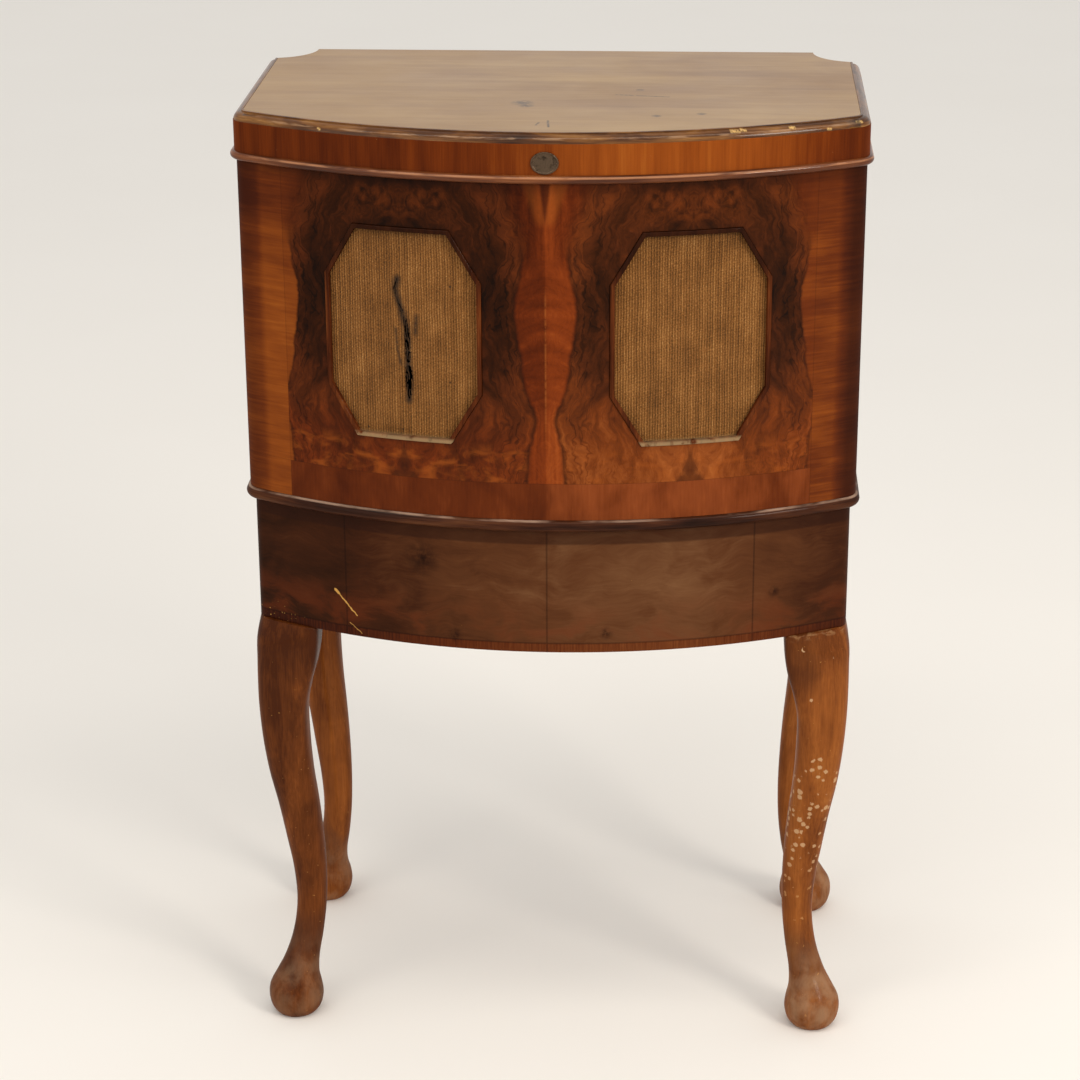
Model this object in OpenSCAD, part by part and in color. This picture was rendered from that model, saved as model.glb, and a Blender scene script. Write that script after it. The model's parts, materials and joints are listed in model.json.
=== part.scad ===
// Gramophone cabinet: bow-fronted walnut case on cabriole legs, with a lifting lid, two
// cloth-covered horn mouths, and the clockwork motor, turntable and tone arm inside.
// The front faces -Y, the right-hand side is +X, and the feet stand on Z = 0.

/* [Cabinet] */
// Width over the lid's rim
cabinet_w = 600; // [560:1:640]
// Depth from the middle of the bowed front to the back
cabinet_d = 373; // [360:1:400]
// Height from the floor to the top of the lid
cabinet_h = 964; // [900:1:1040]
// How far the middle of the front stands forward of its corners
bow_rise = 84; // [70:1:95]
// Radius of the rounded front corners of the rim
corner_r = 22; // [22:1:30]
// Radius of the hollow cut out of the two back corners
notch_r = 46; // [30:1:56]

/* [Lid] */
// Height of the lid, from its lower edge to its top
lid_h = 46; // [40:1:60]
// Thickness of the lid's top panel and of the moulding round it
lid_top_t = 9; // [8:0.5:12]
// Width of the moulding round the top panel
edge_w = 10; // [8:0.5:14]
// Thickness of the lid's rim boards
rim_t = 16; // [12:1:20]
// Radius of the half-round bead at the lid's lower edge
lid_bead_r = 4; // [3:0.5:6]
// Gap between the closed lid and the case
lid_gap = 0.3; // [0.2:0.1:1]
// Width of the oval plaque on the front of the rim
plaque_w = 26; // [20:1:34]
// Height of the oval plaque
plaque_h = 21; // [16:1:24]

/* [Case] */
// Thickness of the case's front and sides
board_t = 18; // [14:1:20]
// How far the case lies inside the rim's outline
case_inset = 2; // [1:0.5:4]
// Thickness of the back panel
back_t = 9; // [6:1:12]
// Height of the rail that carries the hinges, at the top of the back
back_rail_h = 28; // [24:1:40]
// Depth of that rail, front to back
back_rail_t = 24; // [20:1:36]
// Distance from the case's top edge down to the motor board
well_depth = 60; // [50:1:64]
// Thickness of the motor board
deck_t = 12; // [9:1:15]
// Side of the battens under the motor board
batten = 15; // [10:1:20]

/* [Stand] */
// Height of the legs, from the floor to the apron
leg_h = 450; // [420:1:480]
// Height of the apron boards
apron_h = 127; // [100:1:150]
// Thickness of the apron boards
apron_t = 14; // [10:1:14]
// How far the apron lies inside the rim's outline
apron_inset = 7; // [6:0.5:8]
// Thickness of the board between the apron and the case
bottom_t = 12; // [10:1:16]
// How far the waist bead stands out from that board's edge
waist_bead_r = 6; // [5:0.5:7]
// Side of the corner blocks inside the apron
block_w = 50; // [40:1:60]
// Distance of a foot's centre from the side of the apron
foot_in_x = 22; // [18:1:30]
// Distance of a back foot's centre from the back of the apron
foot_in_y = 27; // [22:1:36]
// Largest width of a leg at its knee
knee_w = 64; // [56:1:70]
// Smallest width of a leg at its ankle
ankle_w = 31; // [26:1:36]
// Largest width of a foot
foot_w = 57; // [50:1:64]

/* [Grilles] */
// Width of an octagonal grille over its frame
grille_w = 155; // [130:1:165]
// Height of an octagonal grille over its frame
grille_h = 209; // [180:1:220]
// Width of the cut across each corner of the octagon
grille_cut_w = 30; // [20:1:40]
// Height of the cut across each corner of the octagon
grille_cut_h = 50; // [35:1:60]
// Distance along the front from its middle to a grille's middle
grille_x = 138; // [125:1:150]
// Distance from the case's top edge down to the grilles' middle
grille_drop = 150.7; // [145:0.1:160]
// Width of the grille's frame
frame_w = 4.5; // [3:0.5:9]
// How far the frame stands out from the front
frame_proud = 2; // [1:0.5:5]
// Depth of the rebate that holds the frame and the cloth
rebate = 5.5; // [4:0.5:12]
// Thickness of the grille cloth
cloth_t = 1.5; // [1:0.5:3]
// Width of the ledge that the cloth lies against
ledge_w = 12; // [8:1:16]

/* [Horn] */
// Outer radius of the horn's tubes
throat_r = 20; // [18:1:24]
// Wall of the horn and its tubes
horn_wall = 3; // [2:0.5:4]
// Height of the tube that joins the two horns
throat_z = 640; // [630:1:660]

/* [Turntable] */
// Radius of the turntable
platter_r = 127; // [110:1:140]
// Thickness of the turntable's rim
platter_h = 12; // [8:1:14]
// Gap between the motor board and the turntable
platter_gap = 6; // [4:1:9]
// Thickness of the felt on the turntable
felt_t = 2; // [1:0.5:3]
// Radius of the spindle's shaft, up to the felt
shaft_r = 5; // [4.5:0.1:6]
// Radius of the spindle's pin, above the felt
spindle_r = 3.6; // [3:0.05:4]
// Height of the spindle above the felt
spindle_up = 10; // [7:1:14]
// Distance from the middle of the cabinet to the spindle, towards the left
spindle_left = 62; // [56:1:66]
// Distance from the middle of the bowed front back to the spindle
spindle_back = 194; // [190:1:196]

/* [Tone arm] */
// Distance from the spindle to the tone arm's pivot, across the cabinet
arm_dx = 188; // [180:1:196]
// Distance from the spindle to the tone arm's pivot, front to back
arm_dy = 82; // [74:1:90]
// How far the needle's tip would pass beyond the spindle
needle_over = 4; // [2:0.5:10]
// Distance from the middle of the bowed front back to the parked sound box's middle
arm_clear = 85; // [80:1:100]
// Radius of the arm's tube at its root
arm_r = 13; // [11:0.5:14]
// Radius of the arm's tube at its end
arm_end_r = 9; // [8:0.5:10]
// Radius of the sound box
box_r = 27; // [22:1:28]
// Thickness of the sound box
box_t = 14; // [10:1:16]
// Height of the needle's tip above the turntable's felt
needle_up = 2.3; // [2:0.1:3]

/* [Motor] */
// Thickness of the motor's plates
plate_t = 4; // [3:0.5:6]
// Gap between the motor board and the motor's top plate
plate_drop = 8; // [6:1:12]
// Distance between the motor's two plates
plate_space = 79; // [76:1:86]
// Radius of the spring barrel
barrel_r = 45; // [38:1:48]
// Height of the spring barrel
barrel_h = 35; // [28:1:36]
// Radius of the toothed wheel on the spring barrel
drive_r = 58; // [50:1:60]
// Radius of the pinion on the spindle
pinion_r = 13.5; // [10:0.5:16]
// Radius of the winding shaft
winding_r = 5; // [4:0.5:6]
// Radius of the socket that takes the winding handle
socket_r = 4.5; // [3.5:0.1:5]
// Depth of that socket
socket_d = 28; // [20:1:36]

/* [Fits] */
// Clearance round a shaft that turns in a hole
run_fit = 0.05; // [0.02:0.01:0.1]
// Gap between neighbouring pieces that must not touch
gap = 0.3; // [0.2:0.1:0.6]
// Radius of a hinge's knuckles
knuckle_r = 3.2; // [2.8:0.1:4]
// Radius of a hinge's pin
pin_r = 1.5; // [1.2:0.1:2]
// Length of a hinge
hinge_len = 60; // [45:1:75]
// Distance from the middle of the back to a hinge
hinge_x = 170; // [120:1:190]
// Radius of the lid stay's curve
stay_r = 95; // [92:1:104]
// Radius of the screws' heads
screw_r = 3; // [2.5:0.1:4]

/* [Hidden] */

$fn = 96;
eps = 0.01;                                    // cutters run this far past what they cut
hairline = 0.02;
far = 900;                                     // longer than anything that it cuts

// Plan: every board follows one outline, the lid rim's, at its own inset
half_w = cabinet_w / 2;
bow_r = (half_w * half_w + bow_rise * bow_rise) / (2 * bow_rise);
hinge_out = knuckle_r + gap;                   // hinge line behind the back
front_y = (lid_bead_r - cabinet_d - hinge_out - knuckle_r) / 2;
back_y = front_y + cabinet_d;
bow_y = front_y + bow_r;                       // centre of the bow
corner_x = half_w - corner_r;                  // centres of the rounded corners
corner_y = bow_y - sqrt(pow(bow_r - corner_r, 2) - corner_x * corner_x);
corner_a = asin(corner_x / (bow_r - corner_r)); // where the bow meets a rounded corner
case_half = half_w - case_inset;
inner_inset = case_inset + board_t;            // inside face of the case
apron_inner = apron_inset + apron_t;
post_w = notch_r + case_inset + board_t - 2;   // side of the coved back posts
post_x = half_w - post_w;
post_y = back_y - post_w;
back_lap = 10;                                 // how far the back panel laps the posts

// Heights
lid_z = cabinet_h - lid_h;                     // lower edge of the lid
ceiling_z = cabinet_h - lid_top_t;             // underside of the lid's top panel
case_top = lid_z - lid_gap;
apron_top = leg_h + apron_h;
case_z = apron_top + bottom_t;                 // lower edge of the case's boards
waist_z = apron_top + bottom_t / 2;
grille_z = case_top - grille_drop;
deck_z = lid_z - well_depth;                   // top of the motor board
deck_under = deck_z - deck_t;
felt_z = deck_z + platter_gap + platter_h + felt_t;

// Turntable, arm and motor
spindle_x = -spindle_left;
spindle_y = front_y + spindle_back;
arm_x = spindle_x + arm_dx;
arm_y = spindle_y + arm_dy;
needle_out = 14;                               // needle's tip beyond the middle of the sound box
needle_down = box_r + 7;                       // needle's tip below the middle of the sound box
box_side = 20;                                 // middle of the sound box beside the arm's tube
arm_z = felt_z + needle_up + needle_down;      // centre of the arm's tube
arm_len = norm([arm_dx, arm_dy]) + needle_over - needle_out; // pivot to middle of sound box
arm_park = acos((arm_y - front_y - arm_clear) / arm_len); // out from straight ahead
arm_root = arm_len - 44;                       // length of the arm's own tube
spigot = 12;                                   // length of the crook inside that tube
base_h = 24;
base_r = 17;
plate_z = deck_under - plate_drop - plate_t;   // underside of the motor's top plate
foot_plate_z = plate_z - plate_space;          // underside of the motor's bottom plate
barrel_z = foot_plate_z + plate_t + 11;
tooth_mesh = 1.4;                              // how far two wheels' teeth reach into each other
barrel_x = drive_r + pinion_r - tooth_mesh;    // right of the spindle
wind_gear_r = 34;
wind_gear_z = plate_z - 8;
wind_pinion_r = 9;
winding_z = wind_gear_z - wind_pinion_r - gap;
governor_x = -20;                              // left of the spindle
governor_z = barrel_z + 29;
barrel_teeth = 86;
pinion_teeth = 20;
// Round the spindle: the motor's plates, pillars and bolts
plate_x = [-54, 144];
plate_y = [-54, 54];
pillars = [for (x = [plate_x[0] + 8, plate_x[1] - 8], y = [plate_y[0] + 8, plate_y[1] - 8]) [x, y]];
bolts = [[-38, 0], [118, -40], [118, 40]];

governor_half = 49;                            // half the length of the governor's shaft
worm_r = 4.6;
worm_wheel_r = -governor_x - worm_r - 0.5;
winding_bush = 124;                            // bearing of the winding shaft, right of the spindle
pinion_x = spindle_x + barrel_x + 29;          // inner end of the winding shaft
sleeve_r = 8;
socket_end = case_half + 2;
brake_x = spindle_x + 128;
brake_y = spindle_y - 94;
brake_len = 28;
brake_a = 117.3;                               // angle of the brake's arm when it is off
speed_x = spindle_x + 68;
speed_y = front_y + 38;
dial_t = 2;

// Hinges, stay and fixings
hinge_y = back_y + hinge_out;
hinge_z = lid_z - lid_gap / 2;
leaf_w = 14;
leaf_t = 1.5;
stay_x = post_x - 8;
stay_w = 8;
stay_t = 3;
screw_len = 24;
hinge_screw_len = 15;
stay_span = 77;                                // arc of the stay below the hinge line
back_batten_x = 200;                           // half the length of the batten at the back
needle_cups = [for (y = [spindle_y - 60, spindle_y - 14]) [54 - half_w, y]];
cup_r = 16;
cup_d = 8;
walnut = "#6b3a17";
dark_walnut = "#3d2112";
beech = "#b98a55";
nickel = "#b9b6ab";
brass = "#b08a3c";

// ---- shapes that repeat ----

// Runs a profile along the bow, from angle a0 to a1; its x is out from the rim's outline
module run_bow(a0 = -corner_a, a1 = corner_a) {
    translate([0, bow_y, 0]) rotate([0, 0, a0 - 90])
        rotate_extrude(angle = a1 - a0) translate([bow_r, 0]) children();
}

// Runs a profile round the right-hand front corner
module run_corner() {
    translate([corner_x, corner_y, 0]) rotate([0, 0, corner_a - 90])
        rotate_extrude(angle = 90 - corner_a) translate([corner_r, 0]) children();
}

// Runs a profile back along the right-hand side, from y0 to y1
module run_side(y0, y1) {
    translate([half_w, y1, 0]) rotate([90, 0, 0]) linear_extrude(y1 - y0) children();
}

module both_sides() {
    children();
    mirror([1, 0, 0]) children();
}

module run_front() {
    run_bow() children();
    both_sides() run_corner() children();
}

// One board bent round the bow and both front corners
module front_board(inset0, inset1, z0, z1) {
    translate([0, 0, z0]) linear_extrude(z1 - z0) difference() {
        plan(inset0);
        plan(inset1);
        translate([-far, corner_y]) square([2 * far, far]);
    }
}

// Front and both sides, back to y1, in lengths that meet at a hairline
module run_round(y1) {
    run_front() children();
    both_sides() run_side(corner_y + hairline, y1) children();
}

// A board's section: from one inset to the next, between two heights
module board_section(inset0, inset1, z0, z1) {
    translate([-inset1, z0]) square([inset1 - inset0, z1 - z0]);
}

// The plan inside an inset, with a square back
module plan(inset) {
    wedge_x = corner_x + 1.5 * corner_r * sin(corner_a);
    wedge_y = corner_y - 1.5 * corner_r * cos(corner_a);
    intersection() {
        translate([0, bow_y]) circle(r = bow_r - inset, $fn = 360);
        polygon([[-corner_x, back_y], [-corner_x, corner_y], [-wedge_x, wedge_y],
            [-wedge_x, front_y - 1], [wedge_x, front_y - 1], [wedge_x, wedge_y],
            [corner_x, corner_y], [corner_x, back_y]]);
    }
    both_sides() {
        translate([corner_x - eps, corner_y]) square([corner_r - inset + eps, back_y - corner_y]);
        if (corner_r > inset) translate([corner_x, corner_y]) circle(r = corner_r - inset);
    }
}

// The plan inside an inset that leaves no rounded corner
module sharp_plan(inset) {
    intersection() {
        translate([0, bow_y]) circle(r = bow_r - inset, $fn = 360);
        translate([inset - half_w, front_y]) square([cabinet_w - 2 * inset, cabinet_d]);
    }
}

// The hollows at the two back corners, at any radius about the same centres
module coves(r, z0, z1) {
    both_sides() translate([half_w, back_y, z0]) cylinder(r = r, h = z1 - z0);
}

// An octagon on the front's surface, drawn at d inside the grille's outer edge
function cut_w(d) = let(l = norm([grille_cut_w, grille_cut_h]))
    grille_cut_w - d * (1 - (l - grille_cut_w) / grille_cut_h);
function cut_h(d) = let(l = norm([grille_cut_w, grille_cut_h]))
    grille_cut_h - d * (1 - (l - grille_cut_h) / grille_cut_w);
function octagon(d) = let(a = grille_w / 2 - d, b = grille_h / 2 - d, c = cut_w(d), e = cut_h(d))
    [[a, e - b], [a, b - e], [a - c, b], [c - a, b], [-a, b - e], [-a, e - b], [c - a, -b], [a - c, -b]];

// Places a drawing on the front at a grille: outward is -Y, and Y = 0 is the rim's outline
module at_grille(side) {
    translate([0, bow_y, grille_z]) rotate([0, 0, side * grille_x / bow_r * 180 / PI])
        translate([0, -bow_r, 0]) children();
}

// Extrudes a drawing on the front between two depths behind the rim's outline
module into_front(d0, d1) {
    translate([0, d1, 0]) rotate([90, 0, 0]) linear_extrude(d1 - d0) children();
}

// A curved skin that follows the front, between two insets
module front_skin(inset0, inset1) {
    translate([0, bow_y, grille_z - grille_h]) difference() {
        cylinder(r = bow_r - inset0, h = 2 * grille_h, $fn = 360);
        translate([0, 0, -eps]) cylinder(r = bow_r - inset1, h = 2 * grille_h + 2 * eps, $fn = 360);
    }
}

// The horn's opening behind the cloth: the octagon, ending below the motor board
module mouth(d) {
    intersection() {
        polygon(octagon(d));
        translate([-grille_w, -grille_h])
            square([2 * grille_w, grille_h + deck_under - 10 - grille_z + ledge_w - d]);
    }
}

module box_at(x0, x1, y0, y1, z0, z1) {
    translate([x0, y0, z0]) cube([x1 - x0, y1 - y0, z1 - z0]);
}

// ---- lid ----

module lid_top_panel() color(walnut) difference() {
    translate([0, 0, ceiling_z]) linear_extrude(lid_top_t) plan(edge_w);
    coves(notch_r, ceiling_z - 1, cabinet_h + 1);
}

module edge_section() {
    round_r = min(edge_w - 2.5, lid_top_t - 1.5);
    polygon(concat([[-edge_w, ceiling_z]],
        [for (a = [0 : 15 : 90]) [2 - edge_w + round_r * cos(a), ceiling_z + round_r * sin(a)]],
        [[2 - edge_w, cabinet_h], [-edge_w, cabinet_h]]));
}

module lid_edge_moulding() color(dark_walnut) difference() {
    run_round(back_y) edge_section();
    coves(notch_r, ceiling_z - 1, cabinet_h + 1);
}

module lid_rim_front() color(walnut) front_board(0, rim_t, lid_z, ceiling_z);

module lid_rim_sides() color(walnut) both_sides()
    run_side(corner_y, back_y - notch_r - rim_t)
    board_section(0, rim_t, lid_z, ceiling_z);

module lid_corner_blocks() color(walnut) difference() {
    both_sides() box_at(half_w - notch_r - rim_t, half_w, back_y - notch_r - rim_t, back_y,
        lid_z, ceiling_z);
    coves(notch_r, lid_z - 1, ceiling_z + 1);
}

// Every hinge, centred on its own middle along X
module each_hinge() {
    for (x = [-hinge_x, hinge_x]) translate([x, 0, 0]) children();
}

module each_hinge_screw() {
    each_hinge() for (k = [-1, 0, 1]) translate([k * hinge_len * 0.36, back_y - leaf_w * 0.55, 0])
        children();
}

module lid_rim_back() color(walnut) difference() {
    box_at(notch_r + rim_t - half_w, half_w - notch_r - rim_t, back_y - rim_t, back_y,
        lid_z, ceiling_z);
    each_hinge() box_at(-hinge_len / 2 - gap, hinge_len / 2 + gap, back_y - leaf_w - gap,
        back_y + 1, lid_z - 1, lid_z + leaf_t);
    each_hinge_screw() translate([0, 0, lid_z - 1])
        cylinder(r = screw_r * 0.45, h = hinge_screw_len + 1);
}

module half_round(r, z) {
    polygon([for (a = [-90 : 15 : 90]) [r * cos(a), z + r * sin(a)]]);
}

module lid_bead() color(dark_walnut) run_round(back_y - notch_r)
    half_round(lid_bead_r, lid_z + lid_bead_r);

plaque_z = lid_z + 2 * lid_bead_r + plaque_h / 2 + 1;
plaque_t = 1.6;

module plaque_pin(r) {
    pin_x = plaque_w / 2 - 2.4;
    translate([pin_x, bow_y - sqrt(bow_r * bow_r - pow(pin_x - r, 2)), plaque_z]) rotate([90, 0, 0])
        cylinder(r = r, h = plaque_t + 0.8);
}

module lid_plaque() color("#4a3a28") difference() {
    intersection() {
        translate([0, front_y + 3, plaque_z]) rotate([90, 0, 0]) linear_extrude(8)
            polygon([for (a = [0 : 7.5 : 352.5]) [plaque_w / 2 * cos(a), plaque_h / 2 * sin(a)]]);
        translate([0, bow_y, plaque_z - plaque_h]) difference() {
            cylinder(r = bow_r + plaque_t, h = 2 * plaque_h, $fn = 360);
            translate([0, 0, -1]) cylinder(r = bow_r, h = 2 * plaque_h + 2, $fn = 360);
        }
    }
    both_sides() plaque_pin(0.6 + run_fit);
}

module plaque_pins() color(brass) both_sides() plaque_pin(0.6);

// Knuckles of one hinge leaf, as a list of spans along its length
module knuckles(spans, r) {
    for (s = spans) translate([s[0], hinge_y, hinge_z]) rotate([0, 90, 0])
        cylinder(r = r, h = s[1] - s[0], $fn = 48);
}

lid_knuckles = [[gap - hinge_len / 6, hinge_len / 6 - gap]];
case_knuckles = [[-hinge_len / 2, -hinge_len / 6], [hinge_len / 6, hinge_len / 2]];

module leaf(spans, z0) {
    difference() {
        union() {
            box_at(-hinge_len / 2, hinge_len / 2, back_y - leaf_w, back_y, z0, z0 + leaf_t);
            for (s = spans) box_at(s[0], s[1], back_y - 1, hinge_y, z0, z0 + leaf_t);
            knuckles(spans, knuckle_r);
        }
        for (s = spans) translate([s[0] - 1, hinge_y, hinge_z]) rotate([0, 90, 0])
            cylinder(r = pin_r + run_fit, h = s[1] - s[0] + 2, $fn = 48);
    }
}

module lid_hinge_leaves() color(brass) difference() {
    each_hinge() leaf(lid_knuckles, lid_z);
    each_hinge_screw() translate([0, 0, lid_z - 1]) cylinder(r = screw_r, h = leaf_t + 2);
}

module lid_hinge_screws() color(brass) each_hinge_screw() {
    translate([0, 0, lid_z + 0.1]) cylinder(r = screw_r - run_fit, h = leaf_t - 0.1);
    translate([0, 0, lid_z + 0.5]) cylinder(r = screw_r * 0.45 - run_fit, h = hinge_screw_len - 1);
}

module case_hinge_leaves() color(brass) difference() {
    each_hinge() leaf(case_knuckles, case_top - leaf_t);
    each_hinge_screw() translate([0, 0, case_top - leaf_t - 1]) cylinder(r = screw_r, h = leaf_t + 2);
}

module hinge_pins() color("#8f8a80") each_hinge() translate([-hinge_len / 2, hinge_y, hinge_z])
    rotate([0, 90, 0]) cylinder(r = pin_r, h = hinge_len, $fn = 48);

// Quadrant that rises out of its guide as the lid opens; its arc is centred on the hinge
module lid_stay() color(nickel) {
    stay_y = hinge_y - stay_r;
    translate([stay_x - stay_t, hinge_y, hinge_z]) rotate([-90, 0, 0]) rotate([0, 90, 0])
        rotate_extrude(angle = stay_span) translate([stay_r - stay_w / 2, 0])
            square([stay_w, stay_t]);
    box_at(stay_x - stay_t, stay_x, stay_y - stay_w / 2 - 1, stay_y + stay_w / 2 + 1,
        hinge_z - 2, ceiling_z);
    box_at(stay_x - 20, stay_x, stay_y - stay_w, stay_y + stay_w, ceiling_z - 2, ceiling_z);
}

module stay_guide() color(nickel) {
    guide_y = hinge_y - stay_r;
    for (x = [stay_x + gap, stay_x - stay_t - gap - 2])
        box_at(x, x + 2, guide_y - stay_w, guide_y + stay_w, deck_z, case_top - 6);
    box_at(stay_x - stay_t - 12, stay_x + 12, guide_y - stay_w, guide_y - stay_w / 2 - 1,
        deck_z, deck_z + 2);
    box_at(stay_x - stay_t - gap - 2, stay_x + gap + 2, guide_y - stay_w,
        guide_y - stay_w / 2 - 1, deck_z, case_top - 6);
}

// ---- case ----

module front_panel() color(walnut) difference() {
    front_board(case_inset, inner_inset, case_z, case_top);
    for (side = [-1, 1]) {
        intersection() {
            at_grille(side) into_front(-10, 90) polygon(octagon(0));
            front_skin(-5, case_inset + rebate);
        }
        at_grille(side) into_front(-10, 90) mouth(ledge_w);
    }
}

module side_board() {
    difference() {
        run_side(corner_y, post_y) board_section(case_inset, inner_inset, case_z, case_top);
        children();
    }
}

module side_left() color(walnut) mirror([1, 0, 0]) side_board();

module side_right() color(walnut) side_board() translate([case_half + 1, spindle_y, winding_z])
    rotate([0, -90, 0]) cylinder(r = 10, h = board_t + 2);

// Screws through the back panel into the posts
module each_back_screw() {
    both_sides() for (k = [0 : 3]) translate([post_x + back_lap / 2, back_y,
        case_z + 15 + k * (case_top - back_rail_h - case_z - 30) / 3]) rotate([90, 0, 0]) children();
}

module back_posts() color(walnut) difference() {
    both_sides() box_at(post_x, case_half, post_y, back_y, case_z, case_top);
    coves(notch_r + case_inset, case_z - 1, case_top + 1);
    both_sides() box_at(post_x - 1, post_x + back_lap, back_y - back_t, back_y + 1,
        case_z - 1, case_top - back_rail_h);
    each_back_screw() cylinder(r = screw_r * 0.45, h = screw_len + 1);
}

module back_rail() color(beech) difference() {
    box_at(-post_x, post_x, back_y - back_rail_t, back_y, case_top - back_rail_h, case_top);
    each_hinge() box_at(-hinge_len / 2 - gap, hinge_len / 2 + gap, back_y - leaf_w - gap,
        back_y + 1, case_top - leaf_t, case_top + 1);
    each_hinge_screw() translate([0, 0, case_top - hinge_screw_len - 1])
        cylinder(r = screw_r * 0.45, h = hinge_screw_len + 2);
}

module back_panel() color("#8d6238") difference() {
    box_at(-post_x - back_lap, post_x + back_lap, back_y - back_t, back_y,
        case_z, case_top - back_rail_h);
    each_back_screw() translate([0, 0, -1]) cylinder(r = screw_r * 0.45, h = back_t + 2);
}

module case_screws() color(brass) {
    each_back_screw() {
        translate([0, 0, -1.4]) cylinder(r = screw_r, h = 1.4);
        translate([0, 0, -eps]) cylinder(r = screw_r * 0.45 - run_fit, h = screw_len);
    }
    each_hinge_screw() {
        translate([0, 0, case_top - leaf_t]) cylinder(r = screw_r - run_fit, h = leaf_t - 0.1);
        translate([0, 0, case_top - hinge_screw_len]) cylinder(r = screw_r * 0.45 - run_fit,
            h = hinge_screw_len - 0.5);
    }
}

module bottom_board() color(dark_walnut) translate([0, 0, apron_top]) linear_extrude(bottom_t)
    plan(case_inset + 2);

module waist_bead() color(dark_walnut) run_round(back_y) translate([-case_inset - 2, 0])
    half_round(waist_bead_r, waist_z);

// Where the stay's arc of radius r crosses the height z, towards the front
function stay_cross(r, z) = hinge_y - sqrt(r * r - pow(hinge_z - z, 2));

module motor_board() color("#7a4a22") difference() {
    translate([0, 0, deck_under]) linear_extrude(deck_t) difference() {
        sharp_plan(inner_inset + 0.5);
        both_sides() translate([post_x - gap, post_y - gap]) square(post_w + 1);
        translate([-half_w, back_y - back_t - gap]) square([cabinet_w, far]);
    }
    translate([spindle_x, spindle_y, deck_under - 1]) {
        cylinder(r = 9, h = deck_t + 2);
        for (b = bolts) translate(b) cylinder(r = 3 + run_fit, h = deck_t + 2);
    }
    translate([arm_x, arm_y, deck_under - 1]) cylinder(r = 14, h = deck_t + 2);
    box_at(stay_x - stay_t - 1.5, stay_x + 1.5, stay_cross(stay_r + stay_w / 2, deck_z) - 1,
        stay_cross(stay_r - stay_w / 2, deck_under) + 1, deck_under - 1, deck_z + 1);
    for (c = needle_cups) translate([c[0], c[1], deck_z - cup_d]) cylinder(r = cup_r, h = cup_d + 1);
    for (p = [[brake_x, brake_y], [speed_x, speed_y]]) translate([p[0], p[1], deck_z - 8])
        cylinder(r = 3 + run_fit, h = 9);
}

module deck_battens() color(beech) {
    both_sides() box_at(half_w - inner_inset - batten, half_w - inner_inset, corner_y + 10,
        post_y - 2, deck_under - batten, deck_under);
    box_at(-back_batten_x, back_batten_x, back_y - back_t - batten, back_y - back_t,
        deck_under - batten, deck_under);
}

// ---- stand ----

module apron_front() color(dark_walnut) front_board(apron_inset, apron_inner, leg_h, apron_top);

module apron_sides() color(dark_walnut) both_sides() run_side(corner_y, back_y)
    board_section(apron_inset, apron_inner, leg_h, apron_top);

module apron_back() color("#8d6238") box_at(apron_inner - half_w, half_w - apron_inner,
    back_y - apron_t, back_y, leg_h, apron_top);

module corner_blocks() color(beech) translate([0, 0, leg_h]) linear_extrude(apron_h) {
    inside = half_w - apron_inner;
    both_sides() {
        intersection() {
            sharp_plan(apron_inner + 0.5);
            translate([inside - block_w, corner_y - block_w / 2]) square([block_w + 1, block_w + 20]);
        }
        translate([inside - block_w, back_y - apron_t - block_w]) square(block_w);
    }
}

// A cabriole leg: its sections lean out along the diagonal and turn from square to round.
// Each station is a height as a share of the leg, the lean, the width and the squareness.
knee_in = foot_in_x - knee_w * 0.485;          // puts the knee's top level with the apron's side
stations = [
    [1.000, knee_in, knee_w * 0.97, 5.0],
    [0.950, knee_in + 2.7, knee_w * 1.02, 5.0],
    [0.900, -4.4, knee_w * 0.97, 4.6],
    [0.850, -1.4, knee_w * 0.875, 4.0],
    [0.790, 0.8, knee_w * 0.785, 3.4],
    [0.711, -0.2, knee_w * 0.74, 2.9],
    [0.622, -3.5, knee_w * 0.70, 2.6],
    [0.533, -9.0, knee_w * 0.65, 2.4],
    [0.444, -13.5, knee_w * 0.60, 2.3],
    [0.356, -17.0, ankle_w * 1.10, 2.1],
    [0.271, -17.5, ankle_w, 2.0],
    [0.196, -13.5, ankle_w * 1.02, 2.0],
    [0.138, -7.0, ankle_w * 1.16, 2.0],
    [0.098, -2.0, foot_w * 0.79, 2.0],
    [0.070, 0.0, foot_w * 0.95, 2.0],
    [0.043, 0.0, foot_w, 2.0],
    [0.017, 0.0, foot_w * 0.91, 2.0],
    [0.000, 0.0, foot_w * 0.72, 2.0]];
leg_steps = 2;                                 // rings between two stations
leg_sides = 24;

function smooth(a, b, c, d, t) =
    b + 0.5 * t * (c - a + t * (2 * a - 5 * b + 4 * c - d + t * (3 * (b - c) + d - a)));
function station(k) = stations[max(0, min(len(stations) - 1, k))];
function section_at(i) = let(k = floor(i / leg_steps), t = i / leg_steps - k)
    smooth(station(k - 1), station(k), station(k + 1), station(k + 2), t);
function ring(s, rake) = [for (j = [0 : leg_sides - 1]) let(
    a = 360 * j / leg_sides, n = s[3],
    r = s[2] / 2 * pow(pow(abs(cos(a)), n) + pow(abs(sin(a)), n), -1 / n),
    follow = rake * max(0, s[0] - 0.7) / 0.3)
    [s[1] + r * cos(a), s[1] + r * sin(a) - follow * r * cos(a), s[0] * leg_h]];

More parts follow.
